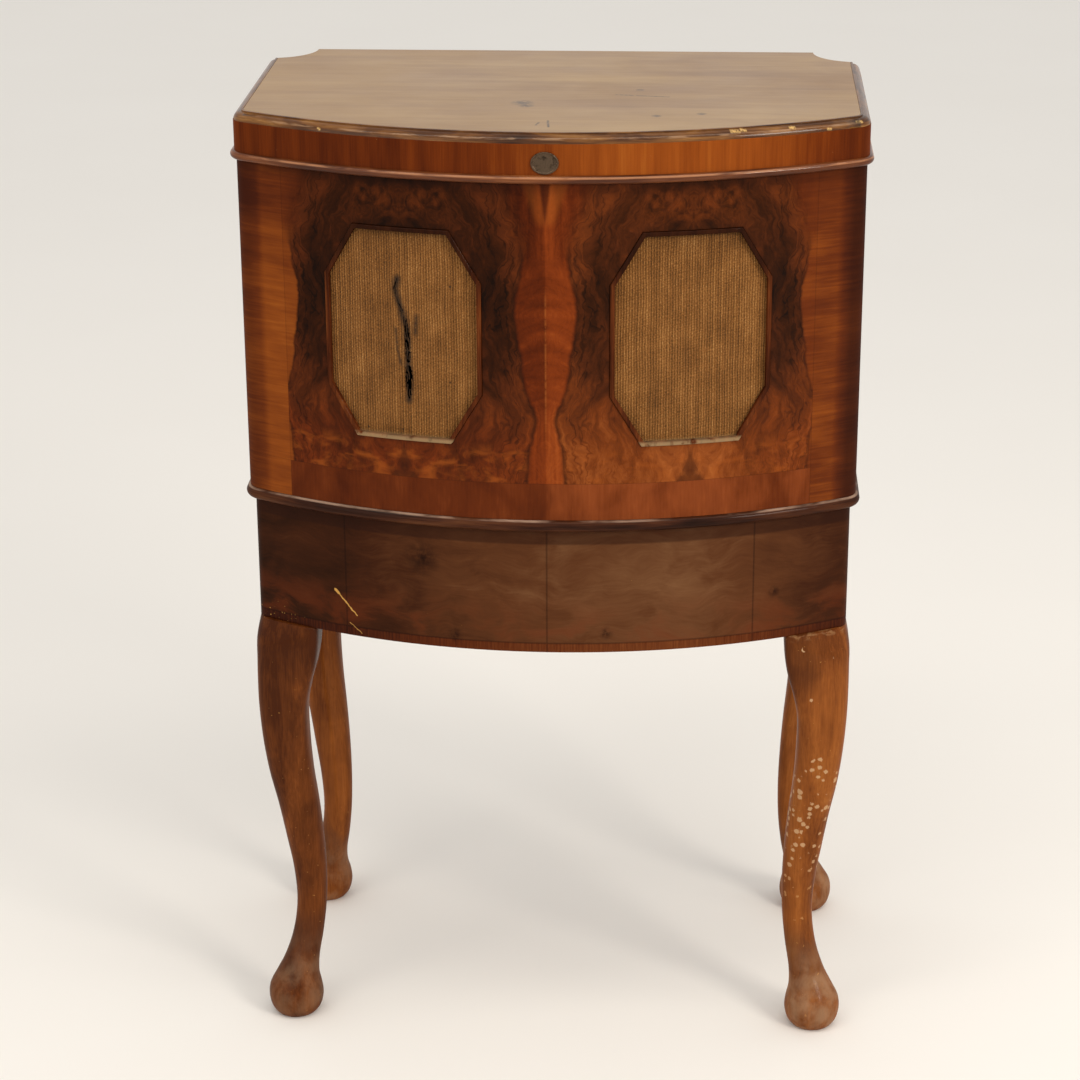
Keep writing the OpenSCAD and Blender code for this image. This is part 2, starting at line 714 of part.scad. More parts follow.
// Drawn for the front right: +X is out to the side, +Y is out to the front.
// rake bends the knee's face back, to follow the bow.
module leg(rake) {
    rings = (len(stations) - 1) * leg_steps;
    points = [for (i = [0 : rings]) each ring(section_at(i), rake)];
    walls = [for (i = [0 : rings - 1], j = [0 : leg_sides - 1]) let(
        k = (j + 1) % leg_sides, a = i * leg_sides)
        each [[a + j, a + leg_sides + j, a + k], [a + k, a + leg_sides + j, a + leg_sides + k]]];
    top = [[for (j = [0 : leg_sides - 1]) j]];
    bottom = [[for (j = [leg_sides - 1 : -1 : 0]) rings * leg_sides + j]];
    polyhedron(points, concat(walls, top, bottom));
}

foot_x = half_w - apron_inset - foot_in_x;
front_foot_y = bow_y - sqrt(pow(bow_r - apron_inset, 2) - pow(half_w - apron_inset, 2));
back_foot_y = back_y - foot_in_y;

module leg_front_right() color(walnut) translate([foot_x, front_foot_y, 0]) mirror([0, 1, 0])
    leg(0.5);

module leg_front_left() color(walnut) mirror([1, 0, 0]) leg_front_right();

module leg_back_right() color(walnut) translate([foot_x, back_foot_y, 0]) leg(0);

module leg_back_left() color(walnut) mirror([1, 0, 0]) leg_back_right();

// ---- grilles and horn ----

module grille_frame(side) {
    intersection() {
        at_grille(side) into_front(-10, 90) difference() {
            polygon(octagon(gap));
            polygon(octagon(frame_w));
        }
        front_skin(case_inset - frame_proud, case_inset + rebate - cloth_t);
    }
}

module grille_cloth(side) {
    intersection() {
        at_grille(side) into_front(-10, 90) polygon(octagon(gap));
        front_skin(case_inset + rebate - cloth_t, case_inset + rebate);
    }
}

module grille_frame_left() color(dark_walnut) grille_frame(-1);

module grille_frame_right() color(dark_walnut) grille_frame(1);

module grille_cloth_left() color("#8a6a34") grille_cloth(-1);

module grille_cloth_right() color("#8a6a34") grille_cloth(1);

// Where each horn meets its stub, and its section halfway there
horn_end = [grille_x - 33, arm_y - 48];
horn_mid = [grille_x - 20, front_y + 118, throat_z + 50];
horn_mid_size = [110, 120];

// One half of the horn, as a solid, grown by w all round
module horn_solid(side, w) {
    hull() {
        at_grille(side) into_front(inner_inset - 1, inner_inset + 1) mouth(ledge_w - w);
        horn_waist(side, w);
    }
    hull() {
        horn_waist(side, w);
        translate([side * horn_end[0], horn_end[1] + 1, throat_z]) rotate([90, 0, 0])
            cylinder(r = throat_r - horn_wall + w, h = 1, $fn = 32);
    }
}

module horn_waist(side, w) {
    translate([side * horn_mid[0], horn_mid[1], horn_mid[2]]) rotate([90, 0, 0])
        scale([horn_mid_size[0] / 100, horn_mid_size[1] / 100, 1])
            cylinder(r = 50 + w, h = 1, $fn = 32);
}

module horn(side) {
    difference() {
        intersection() {
            horn_solid(side, horn_wall);
            translate([0, bow_y, throat_z - 100])
                cylinder(r = bow_r - inner_inset, h = far, $fn = 360);
        }
        horn_solid(side, 0);
        translate([side * horn_end[0], horn_end[1] + 2, throat_z]) rotate([90, 0, 0])
            cylinder(r = throat_r - horn_wall, h = 4, $fn = 64);
    }
}

module horn_left() color("#3a3a38") horn(-1);

module horn_right() color("#3a3a38") horn(1);

// The tubes between the tone arm's base and the two horns, as a solid of radius r
module throat_solid(r, d) {
    translate([-horn_end[0], arm_y, throat_z]) rotate([0, 90, 0])
        cylinder(r = r, h = horn_end[0] + arm_x);
    for (x = [-horn_end[0], horn_end[0]]) translate([x, horn_end[1] + 1 - d, throat_z])
        rotate([-90, 0, 0]) cylinder(r = r, h = arm_y - horn_end[1] - 1 + d);
    for (x = [-horn_end[0], arm_x]) translate([x, arm_y, throat_z]) sphere(r = r);
    translate([arm_x, arm_y, throat_z]) cylinder(r = r, h = deck_under - throat_z + d);
}

module horn_throat() color("#3a3a38") difference() {
    throat_solid(throat_r, 0);
    throat_solid(throat_r - horn_wall, 1);
}

// ---- motor ----

// A toothed wheel: flat-topped teeth on a disc of outer radius r
module toothed(r, h, teeth) {
    depth = min(2, r / 5);
    linear_extrude(h) polygon([for (k = [0 : teeth - 1], t = [[-0.24, 1], [-0.12, 0], [0.12, 0], [0.24, 1]])
        let(a = 360 * (k + t[0]) / teeth) (r - depth * t[1]) * [cos(a), sin(a)]]);
}

module motor_plates() color("#7d8078") translate([spindle_x, spindle_y, 0]) difference() {
    union() {
        for (z = [foot_plate_z, plate_z])
            box_at(plate_x[0], plate_x[1], plate_y[0], plate_y[1], z, z + plate_t);
        for (y = [-governor_half, governor_half - 3]) box_at(governor_x - 8, governor_x + 8, y, y + 3,
            governor_z - 8, plate_z + eps);
        box_at(winding_bush, winding_bush + 4, -11, 11, winding_z - 11, plate_z + eps);
    }
    for (p = pillars) translate([p[0], p[1], foot_plate_z - 1]) cylinder(r = 2.5, h = far);
    for (b = bolts) translate([b[0], b[1], plate_z - 1]) cylinder(r = 3 + run_fit, h = plate_t + 2);
    translate([0, 0, foot_plate_z + 1.5]) cylinder(r = shaft_r + run_fit, h = far);
    translate([barrel_x, 0, foot_plate_z - 1]) cylinder(r = 4 + run_fit, h = far);
    translate([governor_x, -governor_half - 1, governor_z]) rotate([-90, 0, 0])
        cylinder(r = 2 + run_fit, h = 2 * governor_half + 2);
    translate([winding_bush - 1, 0, winding_z]) rotate([0, 90, 0])
        cylinder(r = winding_r + run_fit, h = 6);
}

module motor_pillars() color(nickel) translate([spindle_x, spindle_y, foot_plate_z])
    for (p = pillars) translate([p[0], p[1], 0]) {
        translate([0, 0, plate_t]) cylinder(r = 4.5, h = plate_space - plate_t);
        translate([0, 0, -3]) cylinder(r = 2.5 - run_fit, h = plate_space + plate_t + 5);
        translate([0, 0, -3]) cylinder(r = 4.5, h = 3, $fn = 6);
    }

module motor_bolts() color(brass) translate([spindle_x, spindle_y, 0])
    for (b = bolts) translate([b[0], b[1], 0]) {
        translate([0, 0, plate_z - 4]) cylinder(r = 3, h = deck_z - plate_z + 4);
        translate([0, 0, deck_z]) cylinder(r = 6, h = 2);
        translate([0, 0, plate_z + plate_t]) cylinder(r = 8, h = plate_drop);
        translate([0, 0, plate_z - 4]) cylinder(r = 6, h = 4, $fn = 6);
    }

module crank_escutcheon() color(nickel) translate([case_half, spindle_y, winding_z])
    rotate([0, 90, 0]) difference() {
        union() {
            cylinder(r = 17, h = 1.5);
            cylinder(r = 12.5, h = 2.5);
        }
        translate([0, 0, -1]) cylinder(r = sleeve_r + run_fit, h = 5);
    }

module winding_shaft() color("#8f8a80") translate([0, spindle_y, winding_z]) rotate([0, 90, 0])
    difference() {
        union() {
            translate([0, 0, pinion_x]) toothed(wind_pinion_r, 9, 12);
            translate([0, 0, pinion_x]) cylinder(r = winding_r, h = socket_end - pinion_x - 2);
            translate([0, 0, socket_end - socket_d - 8]) cylinder(r = sleeve_r, h = socket_d + 8);
        }
        translate([0, 0, socket_end - socket_d]) cylinder(r = socket_r, h = socket_d + 1);
    }

module winding_gear() color(brass) translate([spindle_x + barrel_x, spindle_y, 0]) {
    translate([0, 0, wind_gear_z]) toothed(wind_gear_r, 5, 48);
    translate([0, 0, foot_plate_z]) cylinder(r = 4, h = plate_space + plate_t);
}

module spring_barrel() color(brass) translate([spindle_x + barrel_x, spindle_y, barrel_z])
    difference() {
        union() {
            cylinder(r = barrel_r, h = barrel_h);
            toothed(drive_r, 5, barrel_teeth);
            translate([0, 0, -3]) cylinder(r = 9, h = barrel_h + 6);
        }
        translate([0, 0, -4]) cylinder(r = 4 + run_fit, h = barrel_h + 8);
    }

module governor() color(nickel) translate([spindle_x + governor_x, spindle_y, governor_z])
    rotate([-90, 0, 0]) {
        disc_r = 9;
        disc_t = 3;
        first = 12;                            // the two discs' places along the shaft
        last = governor_half - 6 - disc_t;
        translate([0, 0, -governor_half]) cylinder(r = 2, h = 2 * governor_half);
        translate([0, 0, -first]) cylinder(r = worm_r, h = 2 * first - 2);
        for (z = [first, last]) translate([0, 0, z]) cylinder(r = disc_r, h = disc_t);
        for (k = [0 : 2]) rotate([0, 0, 120 * k]) {
            translate([0, disc_r + 3, (first + last) / 2]) sphere(r = 6, $fn = 48);
            translate([-2, disc_r - 1.4, first]) cube([4, 0.8, last - first + disc_t]);
        }
    }

module spindle() color(nickel) translate([spindle_x, spindle_y, 0]) {
    foot = foot_plate_z + 1.5;
    collar = plate_z + plate_t + gap;
    translate([0, 0, foot]) cylinder(r = shaft_r, h = felt_z - foot);
    translate([0, 0, felt_z]) cylinder(r = spindle_r, h = spindle_up - 2);
    translate([0, 0, felt_z + spindle_up - 2]) cylinder(r1 = spindle_r, r2 = spindle_r - 1.4, h = 2);
    translate([0, 0, barrel_z]) rotate([0, 0, 180 / pinion_teeth])
        toothed(pinion_r, 5, pinion_teeth);
    translate([0, 0, governor_z - 4]) toothed(worm_wheel_r, 8, 30);
    translate([0, 0, collar]) cylinder(r = 7, h = deck_z + platter_gap - collar);
}

// ---- turntable ----

module turntable() color(nickel) translate([spindle_x, spindle_y, deck_z + platter_gap])
    difference() {
        cylinder(r = platter_r, h = platter_h, $fn = 180);
        translate([0, 0, -1]) difference() {
            cylinder(r = platter_r - 4, h = platter_h - 2, $fn = 180);
            cylinder(r = 14, h = platter_h);
        }
        translate([0, 0, -1]) cylinder(r = shaft_r + run_fit, h = platter_h + 2);
    }

module turntable_felt() color("#3c5a34") translate([spindle_x, spindle_y, felt_z - felt_t])
    difference() {
        cylinder(r = platter_r - 3, h = felt_t, $fn = 180);
        translate([0, 0, -1]) cylinder(r = shaft_r + run_fit, h = felt_t + 2);
    }

// ---- tone arm, brake and speed lever ----

module tone_arm_base() color(nickel) translate([arm_x, arm_y, deck_z]) difference() {
    union() {
        cylinder(r = 30, h = 3);
        cylinder(r = 23, h = 6);
        cylinder(r = base_r, h = base_h);
    }
    translate([0, 0, -1]) cylinder(r = 14, h = base_h + 2);
}

// The arm is drawn pointing straight ahead from its pivot, then turned to where it is parked
module parked() {
    translate([arm_x, arm_y, arm_z]) rotate([0, 0, arm_park]) children();
}

// Radius of the arm's tube at a distance from its pivot
function tube_r(y) = arm_r + (arm_end_r - arm_r) * y / arm_root;

module arm_rest() color(nickel) parked() translate([0, -arm_root * 0.8, deck_z - arm_z]) {
    top = arm_z - deck_z - tube_r(arm_root * 0.8) - gap;
    cylinder(r = 9, h = 2);
    cylinder(r = 4, h = top - 2);
    translate([0, 0, top - 3]) cylinder(r = 7, h = 3);
}

module tone_arm() color(nickel) parked() {
    cup_z = deck_z + 6 + gap - arm_z;          // lower edge of the cup that turns on the base
    difference() {
        union() {
            translate([0, 0, cup_z]) cylinder(r = base_r + 3, h = base_h);
            translate([0, 0, cup_z + base_h]) cylinder(r1 = base_r + 3, r2 = arm_r + 1,
                h = -cup_z - base_h - 4);
            translate([0, 0, -5]) cylinder(r = arm_r + 1, h = 5);
            sphere(r = arm_r + 1);
            rotate([90, 0, 0]) cylinder(r1 = arm_r, r2 = arm_end_r, h = arm_root);
            translate([0, 10 - arm_root, 0]) rotate([90, 0, 0]) cylinder(r = arm_end_r + 1, h = 10);
        }
        translate([0, 0, cup_z - 1]) cylinder(r = base_r + run_fit, h = base_h - 6 + 1);
        translate([0, 0, cup_z - 1]) cylinder(r = arm_r - 2, h = 1 - cup_z);
        sphere(r = arm_r - 2);
        rotate([90, 0, 0]) cylinder(r1 = arm_r - 2, r2 = arm_end_r - 2, h = arm_root - spigot);
        rotate([90, 0, 0]) cylinder(r = arm_end_r - 2, h = arm_root + 1);
    }
}

// The crook turns on the arm's own axis, to lift the needle
module soundbox() color(nickel) parked() {
    face = box_side + box_t / 2;
    // crook
    translate([0, spigot - arm_root, 0]) rotate([90, 0, 0])
        cylinder(r = arm_end_r - 2 - run_fit, h = spigot + 2);
    translate([0, -arm_root - gap, 0]) rotate([90, 0, 0])
        cylinder(r = arm_end_r, h = arm_len - arm_root - gap);
    translate([0, -arm_len, 0]) {
        sphere(r = arm_end_r);
        rotate([0, 90, 0]) cylinder(r = arm_end_r - 1, h = face - box_t + 1);
        // box with its rim, and the cover over its diaphragm
        translate([face - box_t, 0, 0]) rotate([0, 90, 0]) {
            cylinder(r = box_r - 3, h = box_t - 1);
            translate([0, 0, 2]) cylinder(r = box_r, h = box_t - 5);
            cylinder(r = 4, h = box_t + 1);
        }
        // needle arm, chuck and needle
        translate([face - 1, -2, -needle_down * 0.6]) cube([4, 4, needle_down * 0.6 + 2]);
        translate([face + 1.5, -needle_out, -needle_down]) rotate([-30, 0, 0]) {
            translate([0, 0, 2]) cylinder(r = 0.8, h = 12, $fn = 24);
            cylinder(r1 = 0.1, r2 = 0.8, h = 2, $fn = 24);
            translate([0, 0, 8]) cylinder(r = 2.4, h = 12, $fn = 32);
        }
    }
}

module brake_lever() color(nickel) translate([brake_x, brake_y, deck_z + gap]) difference() {
    union() {
        cylinder(r = 7, h = 4);
        rotate([0, 0, brake_a]) {
            translate([0, -4, 0]) cube([brake_len, 8, 4]);
            translate([brake_len, 0, 0]) cylinder(r = 5, h = 14);
        }
        rotate([0, 0, -40]) {
            translate([0, -3, 0]) cube([34, 6, 4]);
            translate([34, 0, 0]) cylinder(r = 5, h = 9);
        }
    }
    translate([0, 0, -1]) cylinder(r = 3 + run_fit, h = 6);
}

module speed_dial() color(brass) translate([speed_x, speed_y, deck_z]) difference() {
    cylinder(r = 13, h = dial_t);
    translate([0, 0, -1]) cylinder(r = 3 + run_fit, h = dial_t + 2);
    for (a = [-40 : 20 : 40]) rotate([0, 0, a]) translate([9, -0.3, dial_t - 0.4]) cube([3, 0.6, 1]);
}

module speed_lever() color(nickel) translate([speed_x, speed_y, deck_z + dial_t + gap])
    difference() {
        union() {
            cylinder(r = 6, h = 4);
            translate([0, -1.5, 0]) cube([20, 3, 3]);
            translate([20, 0, 0]) cylinder(r = 3.5, h = 8);
        }
        translate([0, 0, -1]) cylinder(r = 3 + run_fit, h = 6);
    }

// A shouldered screw that a lever of height h turns on
module pivot_screw(x, y, h) {
    translate([x, y, deck_z - 8]) cylinder(r = 3, h = h + 8 + gap);
    translate([x, y, deck_z + h + gap]) difference() {
        cylinder(r = 5, h = 1.5);
        translate([-6, -0.5, 0.8]) cube([12, 1, 1]);
    }
}

module pivot_screws() color(brass) {
    pivot_screw(brake_x, brake_y, 4 + gap);
    pivot_screw(speed_x, speed_y, dial_t + gap + 4);
}

lid_top_panel();
lid_edge_moulding();
lid_rim_front();
lid_rim_sides();
lid_rim_back();
lid_corner_blocks();
lid_bead();
lid_plaque();
plaque_pins();
lid_hinge_leaves();
lid_hinge_screws();
lid_stay();
front_panel();
side_left();
side_right();
back_posts();
back_rail();
back_panel();
case_screws();
bottom_board();
waist_bead();
motor_board();
deck_battens();
apron_front();
apron_sides();
apron_back();
corner_blocks();
leg_front_left();
leg_front_right();
leg_back_left();
leg_back_right();
grille_frame_left();
grille_frame_right();
grille_cloth_left();
grille_cloth_right();
horn_left();
horn_right();
horn_throat();
case_hinge_leaves();
hinge_pins();
stay_guide();
motor_plates();
motor_pillars();
motor_bolts();
crank_escutcheon();
winding_shaft();
winding_gear();
spring_barrel();
governor();
spindle();
turntable();
turntable_felt();
tone_arm_base();
arm_rest();
tone_arm();
soundbox();
brake_lever();
speed_dial();
speed_lever();
pivot_screws();
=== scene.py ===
import bmesh
import bpy
import json
import math
from mathutils import Matrix, Vector


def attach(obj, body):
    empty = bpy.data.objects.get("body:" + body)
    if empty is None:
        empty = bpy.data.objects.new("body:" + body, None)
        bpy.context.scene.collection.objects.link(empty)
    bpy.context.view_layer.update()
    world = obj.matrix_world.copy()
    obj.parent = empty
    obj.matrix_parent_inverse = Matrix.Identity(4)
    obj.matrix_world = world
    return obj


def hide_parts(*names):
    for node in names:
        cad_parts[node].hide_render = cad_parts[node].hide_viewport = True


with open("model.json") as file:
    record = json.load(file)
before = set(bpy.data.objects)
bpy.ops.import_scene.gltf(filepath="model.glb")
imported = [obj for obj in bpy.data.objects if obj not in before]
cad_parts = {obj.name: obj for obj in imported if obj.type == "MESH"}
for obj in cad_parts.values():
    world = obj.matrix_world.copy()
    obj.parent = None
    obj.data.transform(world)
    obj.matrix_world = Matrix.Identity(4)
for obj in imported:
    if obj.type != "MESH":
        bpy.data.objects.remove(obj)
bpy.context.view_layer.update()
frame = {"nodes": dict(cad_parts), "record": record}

nodes = frame["nodes"]
bodyOf = {node: body for body, held in frame["record"]["behaviour"]["bodies"].items() for node in held}
scene = bpy.context.scene
scene.view_settings.view_transform = "Standard"
print("packed model loaded:", len(nodes), "nodes")


# Camera, at the height and angle of the photograph
shot = {"place": (0.148, -2.77785, 1.574), "lens": 97.03, "turn": 3.4, "tilt": 68.84, "roll": -0.29}
cameraData = bpy.data.cameras.new("camera")
cameraData.lens = shot["lens"]
camera = bpy.data.objects.new("camera", cameraData)
scene.collection.objects.link(camera)
camera.matrix_world = Matrix.Translation(shot["place"])
for angle, axis in ((shot["turn"], "Z"), (shot["tilt"], "X"), (shot["roll"], "Z")):
    camera.matrix_world = camera.matrix_world @ Matrix.Rotation(math.radians(angle), 4, axis)
scene.camera = camera


# Helpers for node trees: each node goes into the tree that lies on the desk
desk = {"tree": None}


def ink(code):  # an sRGB hex colour as linear numbers
    parts = [int(code[i : i + 2], 16) / 255 for i in (1, 3, 5)]
    return tuple(p / 12.92 if p <= 0.04045 else ((p + 0.055) / 1.055) ** 2.4 for p in parts) + (1,)


def put(kind, feeds=None, **settings):  # one node, with its settings and what feeds it
    node = desk["tree"].nodes.new(kind)
    for name, value in settings.items():
        setattr(node, name, value)
    for name, value in (feeds or {}).items():
        sockets = [s for s in node.inputs if s.enabled]
        socket = next(s for s in sockets if s.name == name) if isinstance(name, str) else sockets[name]
        if isinstance(value, bpy.types.Node):
            value = next(s for s in value.outputs if s.enabled)
        if isinstance(value, bpy.types.NodeSocket):
            desk["tree"].links.new(value, socket)
        else:
            socket.default_value = ink(value) if str(value).startswith("#") else value
    return node


def maths(operation, *values):
    return put("ShaderNodeMath", dict(enumerate(values)), operation=operation)


def vectors(operation, *values):
    return put("ShaderNodeVectorMath", dict(enumerate(values)), operation=operation)


def scaled(vector, scale):
    return put("ShaderNodeVectorMath", {0: vector, "Scale": scale}, operation="SCALE")


def most(*values):
    return values[0] if len(values) == 1 else maths("MAXIMUM", most(*values[:-1]), values[-1])


def product(*values):
    return values[0] if len(values) == 1 else maths("MULTIPLY", product(*values[:-1]), values[-1])


def sumOf(*terms):  # (value, weight) pairs added up
    total = 0
    for value, weight in terms:
        total = maths("MULTIPLY_ADD", value, weight, total)
    return total


def offFrom(value, middle):  # how far a value is from a middle one
    return maths("ABSOLUTE", sumOf((value, 1), (middle, -1)))


def ranged(value, low, high, first=0, last=1, **settings):
    return put("ShaderNodeMapRange", {"Value": value, "From Min": low, "From Max": high, "To Min": first,
        "To Max": last}, **settings)


def step(value, low, high):  # 0 at low, 1 at high, smooth between
    return ranged(value, low, high, interpolation_type="SMOOTHSTEP")


def joint(value, place, way=1):  # from one veneer to the next
    half = 0.4 * way
    return step(value, place - half, place + half)


def ramp(value, stops):  # hex colours or greys at their places on a scale
    node = put("ShaderNodeValToRGB", {"Fac": value})
    marks = node.color_ramp.elements
    marks[0].position, marks[-1].position = stops[0][0], stops[-1][0]
    for place, _ in stops[1:-1]:
        marks.new(place)
    for mark, (_, tint) in zip(marks, stops):
        mark.color = ink(tint) if isinstance(tint, str) else (tint, tint, tint, 1)
    return node


def blendOf(share, first, second, kind="MIX"):
    return put("ShaderNodeMix", {"Factor": share, "A": first, "B": second}, data_type="RGBA", blend_type=kind)


def over(colour, tint, mask, share):  # a tint laid over a colour where a mask is, up to a share
    return blendOf(sumOf((mask, share)), colour, tint)


def cloud(place, sizes, detail=3, rough=0.55, twist=0):  # noise with its own patch size along each axis
    spread = vectors("MULTIPLY", place, tuple(1 / size for size in sizes))
    return put("ShaderNodeTexNoise", {"Vector": spread, "Scale": 1, "Detail": detail, "Roughness": rough,
        "Distortion": twist})


def chanceOf(number):  # a random share for each whole number
    return put("ShaderNodeTexWhiteNoise", {"W": number}, noise_dimensions="1D").outputs["Value"]


def unevenly(place, sizes, swing, lowest):  # roughness that changes from place to place
    return sumOf((cloud(place, sizes, 3, 0.6), swing), (lowest, 1))


def drift(noise, reach, place):  # a place moved about by noise
    way = vectors("SUBTRACT", noise.outputs["Color"], (0.5, 0.5, 0.5))
    return vectors("MULTIPLY_ADD", way, reach, place)


def partsOf(place):
    return put("ShaderNodeSeparateXYZ", {0: place}).outputs


def flatPoint(x, z):
    return put("ShaderNodeCombineXYZ", {0: x, 2: z})


def ownPlace():  # place in the object, in metres
    return put("ShaderNodeTexCoord").outputs["Object"]


def runPlace():  # way round the case and height, in mm
    parts = partsOf(put("ShaderNodeUVMap", uv_map="run"))
    s, z = sumOf((parts[0], 1000)), sumOf((parts[1], 1000))
    return s, z, flatPoint(s, z)


def scratch(place, start, end, width, soft=0.5):  # 1 along a line between two points, in mm
    way = Vector(end) - Vector(start)
    out = vectors("SUBTRACT", place, tuple(start))
    share = vectors("DOT_PRODUCT", out, tuple(way / max(way.length_squared, 1e-6))).outputs["Value"]
    foot = scaled(tuple(way), put("ShaderNodeClamp", {0: share}))
    return ranged(vectors("DISTANCE", out, foot).outputs["Value"], width * (1 - soft), width, 1, 0)


def dots(place, rows, soft):  # round marks, each at its place with its radius
    return most(*[scratch(place, at, at, size, soft) for at, size in rows])


def sideLight(x, marks):  # painted light: the surface lighter or darker from the left end to the right, as the lamps fall
    reach = 300
    return ramp(ranged(x, -reach, reach), [((at + reach) / (2 * reach), tone) for at, tone in marks])


def newFinish(name):
    material = bpy.data.materials.new(name)
    material.use_nodes = True
    desk["tree"] = material.node_tree
    desk["tree"].nodes.clear()
    return material


def surface(height, strength, depth, **feeds):  # the shader that ends a finish, with its fine relief
    bump = put("ShaderNodeBump", {"Strength": strength, "Distance": depth, "Height": height})
    values = {name.replace("_", " "): value for name, value in feeds.items()}
    shader = put("ShaderNodeBsdfPrincipled", {**values, "Normal": bump})
    put("ShaderNodeOutputMaterial", {"Surface": shader})


def polish(colour, rough, height, gloss):  # shellac over wood: a sharp but weak reflection
    surface(height, gloss["bump"], 0.0004, Base_Color=colour, Roughness=rough, IOR=1.5,
        Specular_IOR_Level=gloss["spec"], Coat_Weight=gloss["coat"], Coat_Roughness=gloss["coatRough"],
        Coat_IOR=1.5)


# Kinds of polish on the woods
polished = {"coat": 0.10, "coatRough": 0.06, "rough": 0.40, "bump": 0.20, "spec": 0}
beadPolish = {"coat": 0.40, "coatRough": 0.10, "rough": 0.36, "bump": 0.30, "spec": 0.03}
hazed = {"coat": 0.30, "coatRough": 0.20, "rough": 0.44, "bump": 0.14, "spec": 0.14}
darkBeadPolish = {"coat": 0.13, "coatRough": 0.10, "rough": 0.38, "bump": 0.30, "spec": 0.01}
framePolish = {"coat": 0.07, "coatRough": 0.10, "rough": 0.42, "bump": 0.25, "spec": 0}
legPolish = {"coat": 0.12, "coatRough": 0.15, "rough": 0.42, "bump": 0.22, "spec": 0.01}
dulled = {"coat": 0.06, "coatRough": 0.16, "rough": 0.46, "bump": 0.22, "spec": 0.01}
waxed = {"coat": 0.08, "coatRough": 0.25, "rough": 0.50, "bump": 0.35, "spec": 0.1}
bare = {"coat": 0, "coatRough": 0.4, "rough": 0.68, "bump": 0.5, "spec": 0.12}


def solidWood(name, tints, along, gloss, figure=14, line=1.6, mapped=False, marks=None, contrast=1):
    # sawn and stained wood: long soft streaks, fine dark pores, and a polish that has gone uneven
    material = newFinish(name)
    place = runPlace()[2] if mapped else scaled(ownPlace(), 1000)
    longWay = "XYZ".index(along)

    def sizes(across, down):
        return tuple(down if i == longWay else across for i in range(3))

    broad = cloud(place, sizes(figure, figure * 9), 3, 0.5, 0.6)
    fine = cloud(place, sizes(line, line * 26), 3, 0.6)
    pores = cloud(place, sizes(0.8, 9), 2, 0.5)
    tone = sumOf((broad, 0.75 * contrast), (fine, 0.36 * contrast), (0.5 - 0.555 * contrast, 1))
    extra = marks(place) if marks else {}
    if "tone" in extra:
        tone = sumOf((tone, 1), (extra["tone"], 1))
    colour = ramp(tone, [(0.30, tints[0]), (0.44, tints[1]), (0.56, tints[2]), (0.72, tints[3])])
    dark = step(pores, 0.58, 0.72)
    colour = over(colour, tints[0], dark, 0.35 * contrast)
    for mask, share, tint in extra.get("spots", ()):
        colour = over(colour, tint, mask, share)
    rough = unevenly(place, (110,) * 3, 0.22, gloss["rough"] - 0.11)
    height = sumOf((fine, 0.4), (dark, -0.5))
    polish(colour, rough, height, gloss)
    return material


